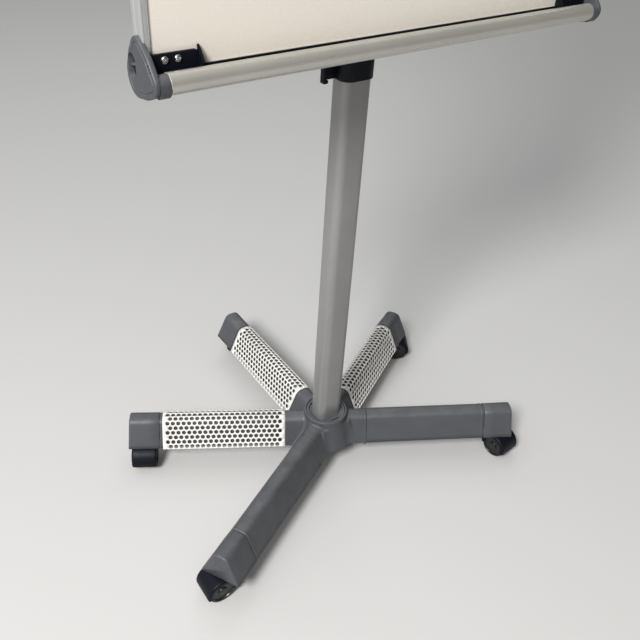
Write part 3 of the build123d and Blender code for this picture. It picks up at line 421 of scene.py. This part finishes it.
def guard_path():
    """The guard's outer section with a small hem rolled under each foot, and the hem's length."""
    profile = arm_profile(-GUARD_PROUD, arc_count=14, side_count=10)
    foot_w, foot_z = profile[0]
    lean = atan(SLOPE)
    fold, hem = 1.4, 0.6
    centre = (foot_w - fold * cos(lean), foot_z - fold * sin(lean))
    curl = arc(centre[0], centre[1], fold, np.degrees(lean) - 180, np.degrees(lean), 8)[:-1]
    hem_top = (curl[0][0] - hem * sin(lean), curl[0][1] + hem * cos(lean))
    half = [hem_top] + curl
    return half + profile + [(-w, z) for w, z in reversed(half)], len(half)


def perforated_sheet():
    """The guard's sheet with staggered round holes, cut out flat and then bent to its section."""
    path, foot = guard_path()
    path = np.array(path)
    steps = np.hypot(*np.diff(path, axis=0).T)
    around = np.concatenate([[0], np.cumsum(steps)])
    length, width = GUARD_END - GUARD_START, around[-1]
    reach = width / 2 - around[foot] - LOWEST_ROW
    rows = round(reach / ROW_STEP)
    row_step = reach / rows
    points = [(0.0, 0.0), (length, 0.0), (length, width), (0.0, width)]
    edges = [(0, 1), (1, 2), (2, 3), (3, 0)]
    holes = []
    for row in range(-rows, rows + 1):
        count = HOLES_PER_ROW - row % 2
        for j in range(count):
            centre = (length / 2 + (j - (count - 1) / 2) * HOLE_PITCH, width / 2 + row * row_step)
            holes.append(centre)
            first = len(points)
            for k in range(HOLE_SIDES):
                turn = 2 * pi * k / HOLE_SIDES
                points.append((centre[0] + HOLE_R * cos(turn), centre[1] + HOLE_R * sin(turn)))
                edges.append((first + k, first + (k + 1) % HOLE_SIDES))
    for v in around[1:-1]:
        first = len(points)
        points += [(0.0, float(v)), (length, float(v))]
        edges.append((first, first + 1))
    flat, _, triangles, _, _, _ = delaunay_2d_cdt([Vector(p) for p in points], edges, [], 0, 1e-5)
    flat = np.array([tuple(p) for p in flat])
    triangles = np.array([t for t in triangles if len(t) == 3])
    middle = flat[triangles].mean(axis=1)
    keep = np.ones(len(triangles), bool)
    for centre in holes:
        distance = np.hypot(middle[:, 0] - centre[0], middle[:, 1] - centre[1])
        keep &= distance > HOLE_R * 0.985        # a triangle in a hole has its middle well inside
    across = np.interp(flat[:, 1], around, path[:, 0])
    height = np.interp(flat[:, 1], around, path[:, 1])
    used = np.unique(triangles[keep])
    renumber = -np.ones(len(flat), int)
    renumber[used] = np.arange(len(used))
    return flat[used, 0], across[used], height[used], renumber[triangles[keep]]


along, across, height, sheet_faces = perforated_sheet()
for index in (1, 2, 3):
    name = ARM_NAMES[index]
    points = [on_arm(ARM_ANGLES[index], GUARD_START + u, w, z)
              for u, w, z in zip(along, across, height)]
    piece(f"perforated_{name}", points, sheet_faces, "base", "white_guard", sharp=40.0,
          shell=GUARD_SHELL, replaces=[f"guard_{name}"])


# ---- the hub: one smooth moulding --------------------------------------------------------------

def smooth_min(a, b, k):
    """The smaller of two distances, rounded off over a width k where they meet."""
    h = np.clip(0.5 + 0.5 * (b - a) / k, 0, 1)
    return b * (1 - h) + a * h - k * h * (1 - h)


def section_distance(w, z):
    """Signed distance to the arm's rounded section, open below."""
    reach = TOP_RADIUS / tan((pi / 2 + atan(SLOPE)) / 2)
    length = hypot(1, SLOPE)
    qx, qz = np.abs(w) - (HALF_TOP - reach), z - (TOP_Z - TOP_RADIUS)
    side = (qx + qz * SLOPE) / length
    down = (qx * SLOPE - qz) / length
    return np.where((qx > 0) & (down < 0), np.hypot(qx, qz), np.maximum(side, qz)) - TOP_RADIUS


CONE_R, CONE_Z, CONE_TOP_Z, CONE_SPREAD = 41.0, 104.0, 103.5, 0.33
NECK_R, NECK_TOP_Z = 41.4, 114.0
WEB_FACE_Y, WEB_HALF_W, WEB_TOP_Z = -51.5, 32.0, 101.0
WEB_RISE, WEB_LEAN = 49.5, 13.0       # the web's front face leans back by WEB_LEAN over WEB_RISE
NECK_BLEND, WEB_BLEND, ARM_BLEND, HUB_BLEND = 4.0, 3.0, 4.0, 5.0


def hub_distance(p):
    """Roughly the signed distance to the hub: a cone, a neck, a front web and five blended stubs."""
    x, y, z = p[..., 0], p[..., 1], p[..., 2]
    r = np.hypot(x, y)
    cone = (r - CONE_R - (CONE_Z - z) * CONE_SPREAD) / hypot(1, CONE_SPREAD)
    cone = np.maximum(cone, z - CONE_TOP_Z)
    total = smooth_min(cone, np.maximum(r - NECK_R, z - NECK_TOP_Z), NECK_BLEND)
    face = (-WEB_RISE * (y - WEB_FACE_Y) + WEB_LEAN * (z - BOTTOM_Z)) / hypot(WEB_RISE, WEB_LEAN)
    web = np.maximum(face, np.maximum(np.abs(x) - WEB_HALF_W, np.maximum(z - WEB_TOP_Z, y)))
    total = smooth_min(total, web, WEB_BLEND)
    arms = None
    for angle in ARM_ANGLES:
        c, s = cos(radians(angle)), sin(radians(angle))
        arm = np.maximum(section_distance(-x * s + y * c, z), -(x * c + y * s))
        arms = arm if arms is None else smooth_min(arms, arm, ARM_BLEND)
    return smooth_min(total, arms, HUB_BLEND)


def surface_net(distance, low, high, step):
    """A quad mesh of the surface where distance is nought, with its points drawn onto that surface."""
    axes = [np.arange(a, b + step, step) for a, b in zip(low, high)]
    grid = np.stack(np.meshgrid(*axes, indexing="ij"), axis=-1)
    field = distance(grid)
    cells = tuple(n - 1 for n in field.shape)
    total, count = np.zeros((*cells, 3)), np.zeros(cells)
    corners = [(i, j, k) for i in (0, 1) for j in (0, 1) for k in (0, 1)]

    def corner_values(c):
        return field[c[0]:c[0] + cells[0], c[1]:c[1] + cells[1], c[2]:c[2] + cells[2]]

    for a in corners:
        for axis in range(3):
            if a[axis] == 0:
                b = tuple(1 if i == axis else a[i] for i in range(3))
                fa, fb = corner_values(a), corner_values(b)
                cross = (fa < 0) != (fb < 0)
                t = np.where(cross, fa / np.where(cross, fa - fb, 1), 0)
                spot = np.empty((*cells, 3))
                for i in range(3):
                    spot[..., i] = a[i] + (t if i == axis else 0)
                total += spot * cross[..., None]
                count += cross
    mixed = count > 0
    number = -np.ones(cells, int)
    number[mixed] = np.arange(mixed.sum())
    where = np.argwhere(mixed)
    points = (where + total[mixed] / count[mixed][:, None]) * step + np.array([a[0] for a in axes])
    faces = []
    for axis in range(3):
        u, v = (axis + 1) % 3, (axis + 2) % 3
        inside = field < 0
        first, second = [slice(None)] * 3, [slice(None)] * 3
        first[axis], second[axis] = slice(0, -1), slice(1, None)
        change = inside[tuple(first)] != inside[tuple(second)]
        for spot in np.argwhere(change):
            if spot[u] == 0 or spot[v] == 0 or spot[u] >= cells[u] or spot[v] >= cells[v]:
                continue
            quad = []
            for du, dv in ((1, 1), (0, 1), (0, 0), (1, 0)):
                cell = list(spot)
                cell[u] -= du
                cell[v] -= dv
                quad.append(number[tuple(cell)])
            faces.append(tuple(quad if inside[tuple(spot)] else quad[::-1]))
    for _ in range(3):
        value = distance(points)
        slope = np.stack([distance(points + d) - distance(points - d) for d in np.eye(3) * 0.2],
                         axis=-1) / 0.4
        norm = np.maximum((slope ** 2).sum(axis=-1), 0.3)
        points = points - slope * (value / norm)[:, None]
    return points, faces


# the stubs run past these limits, and are then cut square at HUB_R; the foot and neck are cut too
HUB_GRID_LOW, HUB_GRID_HIGH, HUB_GRID_STEP = (-88.0, -88.0, 50.0), (88.0, 88.0, 117.0), 1.7
HUB_CUT_Z = 110.0
hub_points, hub_faces = surface_net(hub_distance, HUB_GRID_LOW, HUB_GRID_HIGH, HUB_GRID_STEP)
hub_points = hub_points + np.array([0.0, COLUMN_Y, 0.0])
hub_cuts = [((0, COLUMN_Y, BOTTOM_Z), (0, 0, -1)), ((0, COLUMN_Y, HUB_CUT_Z), (0, 0, 1))]
for angle in ARM_ANGLES:
    hub_cuts.append((on_arm(angle, HUB_R, 0, 80.0), (cos(radians(angle)), sin(radians(angle)), 0)))
piece("hub_shell", hub_points, hub_faces, "base", "grey_plastic", sharp=50.0, shell=HUB_SHELL,
      cuts=hub_cuts, replaces=["hub_cover"])

# the trim ring: the hub's rounded lip, a narrow groove and an inner lip, then a floor to the column
ring = [(33.0, 104.5), (41.0, 104.5), (41.7, 105.2), (41.9, 108.0), (42.0, 117.1)]
ring += arc(40.6, 117.1, 1.4, 0, 90, 6) + arc(39.1, 117.9, 0.6, 90, 180, 3)
ring += [(38.5, 114.6), (37.7, 114.6), (37.6, 116.4)] + arc(37.0, 116.4, 0.6, 0, 90, 4)[1:]
ring += arc(33.7, 116.4, 0.6, 90, 180, 4) + [(33.1, 113.6), (32.6, 113.4)]
points, faces = lathe(ring, (0, COLUMN_Y, 0), (0, 0, 1), (1, 0, 0), 96)
FLOOR_R, FLOOR_Z, FLOOR_INNER_Z, FLOOR_UNDER_Z, FLOOR_GAP = 33.3, 113.5, 112.9, 104.8, 0.2
floor_outer, floor_inner = [], []
outline = rounded_rect(COLUMN_W + 2 * FLOOR_GAP, COLUMN_D + 2 * FLOOR_GAP,
                       COLUMN_CORNER + FLOOR_GAP, 12)
for x, y in outline:
    turn = atan2(y, x)
    floor_outer.append((FLOOR_R * cos(turn), COLUMN_Y + FLOOR_R * sin(turn), FLOOR_Z))
    floor_inner.append((x, COLUMN_Y + y, FLOOR_INNER_Z))
under_inner = [(x, y, FLOOR_UNDER_Z) for x, y, _ in floor_inner]
under_outer = [(x, y, FLOOR_UNDER_Z) for x, y, _ in floor_outer]
floor = loft([floor_outer, floor_inner, under_inner, under_outer, floor_outer], cap_start=False,
             cap_end=False)
points, faces = merge((points, faces), floor)
piece("hub_ring", points, faces, "base", "grey_plastic", sharp=40.0, replaces=["hub_trim_ring"])


# ---- column ------------------------------------------------------------------------------------

def tube(name, z0, z1, wall, body, slot, material, replaces, sizes, edge=0.6):
    """A hollow rounded-rectangle tube with softened ends."""
    width, depth, corner = sizes
    levels = [(z0, -edge), (z0 + edge, 0.0), (z1 - edge, 0.0), (z1, -edge)]
    outside = [column_loop(z, g, width, depth, corner) for z, g in levels]
    inside = [column_loop(z, -wall, width, depth, corner) for z in (z1, z0)]
    points, faces = loft([*outside, *inside, outside[0]], cap_start=False, cap_end=False)
    return piece(name, points, faces, body, slot, material=material, replaces=replaces)


COLUMN_WALL, INNER_WALL = 2.0, 1.8
INNER_SIZES = (42.0, 30.0, 9.0)       # width, depth and corner
tube("column_skin", tube_low[2], tube_high[2], COLUMN_WALL, "base", "silver_paint", "silver_paint",
     ["column_tube"], (COLUMN_W, COLUMN_D, COLUMN_CORNER))
inner_low, inner_high = cad_box("inner_tube")
tube("inner_column_skin", inner_low[2], inner_high[2], INNER_WALL, "board", "satin_aluminium",
     "upright_aluminium", ["inner_tube"], INNER_SIZES)


# ---- casters -----------------------------------------------------------------------------------

HOOD_START, HOOD_SWEEP, HOOD_STEPS = -12, 204, 36    # degrees round the axle, from the trailing side
DISC_R, DISC_HALF = 23.0, 3.4
# the hood's section across both wheels, as (along the axle, from the axle): outside, then inside
HOOD_SECTION = [(-23.6, 20.0), (-24.0, 23.0)] + arc(-20.2, 24.2, 3.8, 180, 90, 6)
HOOD_SECTION += arc(20.2, 24.2, 3.8, 90, 0, 6) + [(24.0, 23.0), (23.6, 20.0)]
HOOD_SECTION += [(21.9, 20.0), (21.9, 24.0), (20.2, 26.3), (-20.2, 26.3), (-21.9, 24.0), (-21.9, 20.0)]
STEM = [(0.2, 40.0), (10.0, 40.0), (10.0, 56.0), (9.4, 57.3), (5.4, 57.5), (5.4, 82.0), (4.6, 83.0),
        (0.2, 83.0)]
# one wheel: soft-edged tread, a raised rim and a dished face with a domed cap
WHEEL = [(3.2, 4.2), (21.0, 4.2), (23.6, 4.8), (24.6, 6.0), (25.0, 8.0), (25.0, 18.6), (24.7, 20.4),
         (23.8, 21.6), (22.4, 22.0), (20.8, 21.9), (20.2, 21.2), (19.6, 19.6), (12.0, 18.6),
         (8.4, 18.8), (7.8, 20.0), (7.0, 21.2), (4.6, 21.9), (0.2, 22.3), (0.2, 21.3), (3.2, 21.3)]


def caster_frame(index):
    """A caster's swivel foot on the floor, the way it trails, and the direction of its axle."""
    a, t = radians(ARM_ANGLES[index]), radians(CASTER_TRAILS[index])
    swivel = Vector((CASTER_R * cos(a), COLUMN_Y + CASTER_R * sin(a), 0))
    trail = Vector((cos(t), sin(t), 0))
    return swivel, trail, Vector((-sin(t), cos(t), 0))


for index, name in enumerate(ARM_NAMES):
    swivel, trail, side = caster_frame(index)
    axle = swivel + trail * TRAIL + Vector((0, 0, WHEEL_R))
    loops = []
    for i in range(HOOD_STEPS + 1):
        turn = radians(HOOD_START + (HOOD_SWEEP * i / HOOD_STEPS))
        out = trail * cos(turn) + Vector((0, 0, 1)) * sin(turn)
        loops.append([axle + side * a + out * b for a, b in HOOD_SECTION])
    hood = loft(loops)
    body_disc = lathe([(0.5, -DISC_HALF), (DISC_R, -DISC_HALF), (DISC_R, DISC_HALF), (0.5, DISC_HALF)],
                      axle, side, trail, 48)
    stem = lathe(STEM, swivel, (0, 0, 1), trail, 32)
    points, faces = merge(hood, body_disc, stem)
    piece(f"caster_hood_{name}", points, faces, f"swivel_{name}", "black_plastic", sharp=38.0,
          replaces=[f"caster_fork_{name}"])
    left = lathe(WHEEL, axle, side, trail, 64)
    right = lathe([(r, -h) for r, h in WHEEL], axle, side, trail, 64)
    points, faces = merge(left, right)
    piece(f"caster_tyres_{name}", points, faces, f"wheels_{name}", "caster_nylon", sharp=30.0,
          replaces=[f"caster_wheels_{name}"])


# ---- board frame -------------------------------------------------------------------------------

depth = BOARD_BACK_Y - BOARD_FRONT_Y
FRAME_SECTION = [  # how far in from the board's edge, how far behind the front face
    (0.0, 0.9), (0.3, 0.25), (0.9, 0.0), (2.1, 0.0), (2.4, 0.45), (2.8, 0.45), (3.1, 0.1), (6.9, 0.1),
    (7.2, 0.4), (7.6, 0.4), (7.9, 0.15), (8.7, 0.5), (9.0, 1.1), (9.0, 2.0), (1.5, 2.0),
    (1.5, depth - 2.0), (9.0, depth - 2.0), (9.0, depth - 0.5), (8.5, depth), (0.8, depth),
    (0.0, depth - 0.8), (0.0, 15.5), (0.5, 14.9), (0.5, 8.1), (0.0, 7.5)]
half_w = BOARD_W / 2


def frame_loop(corner):
    """The frame's section at one mitred corner."""
    x_side, z_side = ((-1, 1, 1, -1)[corner], (-1, -1, 1, 1)[corner])
    mid_z = BOARD_BOTTOM_Z + BOARD_H / 2
    return [(x_side * (half_w - d), BOARD_FRONT_Y + y, mid_z + z_side * (BOARD_H / 2 - d))
            for d, y in FRAME_SECTION]


for index, name in enumerate(["bottom", "right", "top", "left"]):
    points, faces = loft([frame_loop(index), frame_loop((index + 1) % 4)])
    upright = name in ("left", "right")
    piece(f"frame_profile_{name}", points, faces, "board", "satin_aluminium", sharp=28.0,
          material="upright_aluminium" if upright else "satin_aluminium", replaces=[f"frame_{name}"])


# ---- pen tray ----------------------------------------------------------------------------------

RAIL_WALL, RAIL_SIDES = 1.5, 96


def rail_loop(x, r):
    turns = [2 * pi * i / RAIL_SIDES for i in range(RAIL_SIDES)]
    return [(x, RAIL_Y + r * cos(turn), RAIL_Z + r * sin(turn)) for turn in turns]


rail_start, rail_end = rail_low[0], rail_high[0]
rail_edge_r, rail_inner_r = RAIL_R - RAIL_EDGE, RAIL_R - RAIL_WALL
points, faces = loft([rail_loop(x, r) for x, r in (
    (rail_start, rail_edge_r), (rail_start + RAIL_EDGE, RAIL_R), (rail_end - RAIL_EDGE, RAIL_R),
    (rail_end, rail_edge_r), (rail_end, rail_inner_r), (rail_start, rail_inner_r),
    (rail_start, rail_edge_r))], cap_start=False, cap_end=False)
piece("rail_skin", points, faces, "board", "satin_aluminium", replaces=["tray_rail"])

LOBES = [(COLUMN_Y + y, z, r) for y, z, r in (
    (-117.0, 859.5, 13.2), (-98.0, 856.0, 18.0), (-79.0, 857.0, 23.0), (-81.0, 873.0, 18.5),
    (-86.0, 887.0, 14.0), (-101.0, 874.0, 16.0))]
CHEEK_X = 354.0                       # the tray ends' outer faces, to either side
CHEEK_RIM = [(347.5, 1.0), (347.8, 0.3), (348.4, 0.0), (352.4, 0.0), (353.2, 0.35), (353.75, 0.85),
             (CHEEK_X, 1.5)]          # (x, inset)
GROOVE_INSET, GROOVE_HALF, GROOVE_DEPTH = 6.4, 0.75, 0.9
RECESS_Y, RECESS_DEPTH = COLUMN_Y - 72.5, 5.6
RECESS = ((RECESS_Y, 859.5), (RECESS_Y, 871.5), 9.0)    # a slot: its two centres and radius


def cheek_outline(inset):
    """The tray end's outline: the hull of its round lobes, shrunk by inset."""
    cloud = [(y + (r - inset) * cos(2 * pi * i / 72), z + (r - inset) * sin(2 * pi * i / 72))
             for y, z, r in LOBES for i in range(72)]
    return [cloud[i] for i in convex_hull_2d([Vector(p) for p in cloud])]


def resample(outline, count):
    """Evenly spaced points round a closed outline, starting at its first point."""
    loop = np.array(outline + outline[:1])
    steps = np.concatenate([[0], np.cumsum(np.hypot(*np.diff(loop, axis=0).T))])
    spots = np.linspace(0, steps[-1], count, endpoint=False)
    return np.stack([np.interp(spots, steps, loop[:, 0]), np.interp(spots, steps, loop[:, 1])], axis=1)


def matched_outline(inset, count=120):
    """The outline at an inset, its points at set directions so that any two can be lofted."""
    outline = np.array(cheek_outline(inset))
    centre = np.array([COLUMN_Y - 91.0, 863.0])
    fine = resample([tuple(p) for p in outline], 2000)
    turns = np.arctan2(fine[:, 1] - centre[1], fine[:, 0] - centre[0])
    order = np.argsort(turns)
    reach = np.hypot(fine[:, 0] - centre[0], fine[:, 1] - centre[1])
    wanted = np.linspace(-pi, pi, count, endpoint=False)
    r = np.interp(wanted, turns[order], reach[order], period=2 * pi)
    return np.stack([centre[0] + r * np.cos(wanted), centre[1] + r * np.sin(wanted)], axis=1)


def slot_distance(p):
    """Signed distance of (y, z) points from the slot's edge, negative inside it."""
    a, b = np.array(RECESS[0]), np.array(RECESS[1])
    t = np.clip(((p - a) @ (b - a)) / ((b - a) @ (b - a)), 0, 1)
    return np.hypot(*(p - a - t[:, None] * (b - a)).T) - RECESS[2]


def slot_outline(grow, count=40):
    a, b = Vector(RECESS[0]), Vector(RECESS[1])
    along_slot = np.degrees(atan2(b.y - a.y, b.x - a.x))
    r = RECESS[2] + grow
    return arc(b.x, b.y, r, along_slot - 90, along_slot + 90, count // 2) + \
        arc(a.x, a.y, r, along_slot + 90, along_slot + 270, count // 2)


def cheek_depth(p):
    """How far each point of the cheek's outer face lies below it."""
    outline = matched_outline(0.0, 720)
    gaps = p[:, None, :] - outline[None, :, :]
    edge = np.min(np.hypot(gaps[..., 0], gaps[..., 1]), axis=1)
    groove = np.clip(1 - np.abs(edge - GROOVE_INSET) / GROOVE_HALF, 0, 1) * GROOVE_DEPTH
    t = np.clip(-slot_distance(p), 0, 1)
    return groove * (1 - t) + RECESS_DEPTH * t


# the cheek's flat face, meshed round its groove and its slot
groove_loops = [matched_outline(inset, 300) for inset in (5.6, 6.4, 7.2)]
flat_points, flat_edges = [], []
for loop in (matched_outline(CHEEK_RIM[-1][1]), *groove_loops, slot_outline(0.0), slot_outline(-1.0)):
    first = len(flat_points)
    flat_points += [Vector((float(p[0]), float(p[1]))) for p in loop]
    flat_edges += [(first + i, first + (i + 1) % len(loop)) for i in range(len(loop))]
flat, _, triangles, _, _, _ = delaunay_2d_cdt(flat_points, flat_edges, [], 0, 1e-5)
flat = np.array([tuple(p) for p in flat])
sunk = cheek_depth(flat)

# a ridge crosses the slot, its section as (above the slot's floor, share of its half width)
RIDGE_SECTION = [(0, -1), (3.6, -0.7), (4.6, 0), (3.6, 0.7), (0, 1)]
RIDGE_ENDS = [(-8.6, 0.6), (-8.2, 1.6), (8.2, 2.4), (8.6, 1.4)]    # (along, half width)
RIDGE_MID_Z, RIDGE_TILT, RIDGE_SINK = 867.5, 0.25, 5.7
SLOT_SHADE_FLOOR = [(5.4, -0.9), (5.5, -0.9)]    # (depth, grow) of the slot's floor, a black sheet painted in as shade
SLEEVE_START, SLEEVE_END, SLEEVE_R, SLEEVE_ROUND = 336.05, 348.0, 12.5, 0.7
SLEEVE_Y, SLEEVE_Z = RAIL_Y + 0.3, RAIL_Z - 1.8

for side_sign, name in ((-1, "left"), (1, "right")):
    loops = []
    for x, inset in CHEEK_RIM:
        loops.append([(side_sign * x, y, z) for y, z in matched_outline(inset)])
    rim = loft(loops, cap_end=False)
    face = ([(side_sign * (CHEEK_X - d), p[0], p[1]) for p, d in zip(flat, sunk)],
            [tuple(t) for t in triangles])
    ridge_loops = []
    for t, w in RIDGE_ENDS:
        centre_z = RIDGE_MID_Z - RIDGE_TILT * t
        ridge_loops.append([(side_sign * (CHEEK_X - RIDGE_SINK + h), RECESS_Y + t, centre_z + w * k)
                            for h, k in RIDGE_SECTION])
    ridge = loft(ridge_loops)
    points, faces = merge(rim, face)
    piece(f"cheek_{name}", points, faces, "board", "grey_plastic", sharp=30.0,
          replaces=[f"tray_end_{name}"])
    piece(f"cheek_ridge_{name}", *ridge, "board", "grey_plastic", sharp=60.0)
    # painted shade: a black sheet deep in the slot stands for the shadow inside the grey moulding's
    # hollow
    hollow = [[(side_sign * (CHEEK_X - sunk_by), y, z) for y, z in slot_outline(grow)]
              for sunk_by, grow in SLOT_SHADE_FLOOR]
    piece(f"cheek_slot_shade_{name}", *loft(hollow), "board", "grey_plastic", material="black_plastic")
    flat_r = SLEEVE_R - SLEEVE_ROUND
    sleeve = [(0.3, SLEEVE_START), (flat_r, SLEEVE_START)]
    sleeve += arc(flat_r, SLEEVE_START + SLEEVE_ROUND, SLEEVE_ROUND, 270, 360, 4)
    sleeve += [(SLEEVE_R, SLEEVE_END), (0.3, SLEEVE_END)]
    points, faces = lathe(sleeve, (0, SLEEVE_Y, SLEEVE_Z), (side_sign, 0, 0), (0, -1, 0), 72)
    piece(f"sleeve_{name}", points, faces, "board", "grey_plastic", sharp=35.0)

# pan-head screws with a six-sided key
screw_low, screw_high = cad_box("tray_screws")
screw_z = (screw_low[2] + screw_high[2]) / 2
SCREW_XS = [-329.0, -313.6, 313.6, 329.0]
# (radius, height of the head, whether the loop is the key's hexagon)
SCREW_LOOPS = [(4.2, 0.0, 0), (4.2, 0.5, 0), (3.9, 1.3, 0), (3.2, 1.95, 0), (2.5, 2.3, 0),
               (2.1, 2.4, 1), (2.05, 0.5, 1), (0.3, 0.4, 0)]
front = BOARD_FRONT_Y - 3.5           # the tray brackets' face, where the heads sit
heads = []
for screw_x in SCREW_XS:
    loops = []
    for r, y, key in SCREW_LOOPS:
        loop = []
        for i in range(48):
            turn = 2 * pi * i / 48
            radius = r
            if key:
                radius = r / max(cos((turn + pi / 6) % (pi / 3) - pi / 6), 0.1) * cos(pi / 6)
            loop.append((screw_x + radius * cos(turn), front - y, screw_z + radius * sin(turn)))
        loops.append(loop)
    heads.append(loft(loops))
points, faces = merge(*heads)
piece("screw_heads", points, faces, "board", "bare_steel", sharp=40.0, replaces=["tray_screws"])


# ---- the CAD nodes that stay: a finish and softened edges --------------------------------------

SOFT_EDGES = {
    "tray_brackets": 0.8, "tray_channel": 0.5, "height_collar": 0.9, "clamp_lever": 1.0,
    "guide_bush": 0.5, "tube_plug": 0.6, "board_brackets": 0.6, "bracket_fasteners": 0.4,
    "head_rail": 0.8, "head_caps": 1.2, "clamp_bar": 1.0, "paper_stud_left": 0.8,
    "paper_stud_right": 0.8, "foot_bolt": 0.5, "caster_sockets": 0.8, "arm_beams": 0.8,
    "hub_core": 0.6,
}
slots = {row["node"]: row["material_slot"] for row in frame["record"]["subparts"]}
for node, obj in frame["nodes"].items():
    if obj.hide_render:
        continue
    obj.data.materials.clear()
    obj.data.materials.append(MATERIALS[slots[node]])
    if node in SOFT_EDGES:
        weld = obj.modifiers.new("weld", "WELD")
        weld.merge_threshold = 0.00001
        add_bevel(obj, SOFT_EDGES[node])


# ---- floor, light and camera -------------------------------------------------------------------

FLOOR_RADIUS_M = 12.0
floor_mesh = bpy.data.meshes.new("floor")
floor_bm = bmesh.new()
bmesh.ops.create_circle(floor_bm, cap_ends=True, segments=96, radius=FLOOR_RADIUS_M)
floor_bm.to_mesh(floor_mesh)
floor_bm.free()
floor_object = bpy.data.objects.new("floor", floor_mesh)
bpy.context.scene.collection.objects.link(floor_object)
floor_mat, floor_nodes, floor_links, floor_shader = new_material("floor_pale")
floor_shader.inputs["Roughness"].default_value = 0.85
floor_noise = floor_nodes.new("ShaderNodeTexNoise")
floor_noise.inputs["Scale"].default_value = 3.0
floor_ramp = floor_nodes.new("ShaderNodeValToRGB")
floor_ramp.color_ramp.elements[0].color = (0.52, 0.52, 0.515, 1)
floor_ramp.color_ramp.elements[1].color = (0.56, 0.56, 0.555, 1)
floor_links.new(floor_noise.outputs["Fac"], floor_ramp.inputs["Fac"])
floor_links.new(floor_ramp.outputs["Color"], floor_shader.inputs["Base Color"])
floor_mesh.materials.append(floor_mat)

# the room: bright above and to the left, dim to the right and near the floor
BRIGHT_SIDE = (-0.70, 0.05, 0.71)
world = bpy.data.worlds.new("studio")
world.use_nodes = True
sky_nodes, sky_links = world.node_tree.nodes, world.node_tree.links
sky_coords = sky_nodes.new("ShaderNodeTexCoord")
sky_side = sky_nodes.new("ShaderNodeVectorMath")
sky_side.operation = "DOT_PRODUCT"
sky_side.inputs[1].default_value = BRIGHT_SIDE
sky_links.new(sky_coords.outputs["Generated"], sky_side.inputs[0])
sky_ramp = sky_nodes.new("ShaderNodeValToRGB")
sky_ramp.color_ramp.elements[0].position = 0.05
sky_ramp.color_ramp.elements[0].color = (0.10, 0.095, 0.09, 1)
sky_ramp.color_ramp.elements[1].position = 0.85
sky_ramp.color_ramp.elements[1].color = (1.0, 1.0, 1.0, 1)
sky_links.new(sky_side.outputs["Value"], sky_ramp.inputs["Fac"])
sky = sky_nodes["Background"]
sky_links.new(sky_ramp.outputs["Color"], sky.inputs["Color"])
sky.inputs["Strength"].default_value = 0.8
bpy.context.scene.world = world


def area_light(name, place, target, size, power, colour):
    light = bpy.data.lights.new(name, "AREA")
    light.shape = "DISK"
    light.size = size
    light.energy = power
    light.color = colour
    obj = bpy.data.objects.new(name, light)
    obj.location = place
    obj.rotation_mode = "QUATERNION"
    obj.rotation_quaternion = (Vector(target) - Vector(place)).to_track_quat("-Z", "Y")
    bpy.context.scene.collection.objects.link(obj)


area_light("key", (-2.4, -1.5, 2.9), (0, 0, 0.5), 1.0, 170.0, (1.0, 0.985, 0.965))
area_light("fill", (1.4, 1.6, 3.0), (0, 0, 0.4), 2.0, 16.0, (0.95, 0.97, 1.0))

YAW, PITCH, ROLL = 0.644145, 0.653590, 0.066140      # radians
LENS_MM, SENSOR_MM = 41.44, 36.0
CAMERA_X, CAMERA_BEYOND_COLUMN, CAMERA_Z = -0.6470, -0.8237, 1.1389    # metres
ahead = Vector((sin(YAW) * cos(PITCH), cos(YAW) * cos(PITCH), -sin(PITCH)))
right = Vector((cos(YAW), -sin(YAW), 0))
up = right.cross(ahead)
rolled_right = right * cos(ROLL) + up * sin(ROLL)
rolled_up = up * cos(ROLL) - right * sin(ROLL)
lens = bpy.data.cameras.new("camera")
lens.lens = LENS_MM
lens.sensor_width = SENSOR_MM
camera = bpy.data.objects.new("camera", lens)
axes = Matrix((rolled_right, rolled_up, -ahead)).transposed().to_4x4()
camera_place = (CAMERA_X, CAMERA_BEYOND_COLUMN + COLUMN_Y * MM, CAMERA_Z)
camera.matrix_world = Matrix.Translation(camera_place) @ axes
bpy.context.scene.collection.objects.link(camera)
bpy.context.scene.camera = camera
bpy.context.scene.view_settings.view_transform = "Standard"
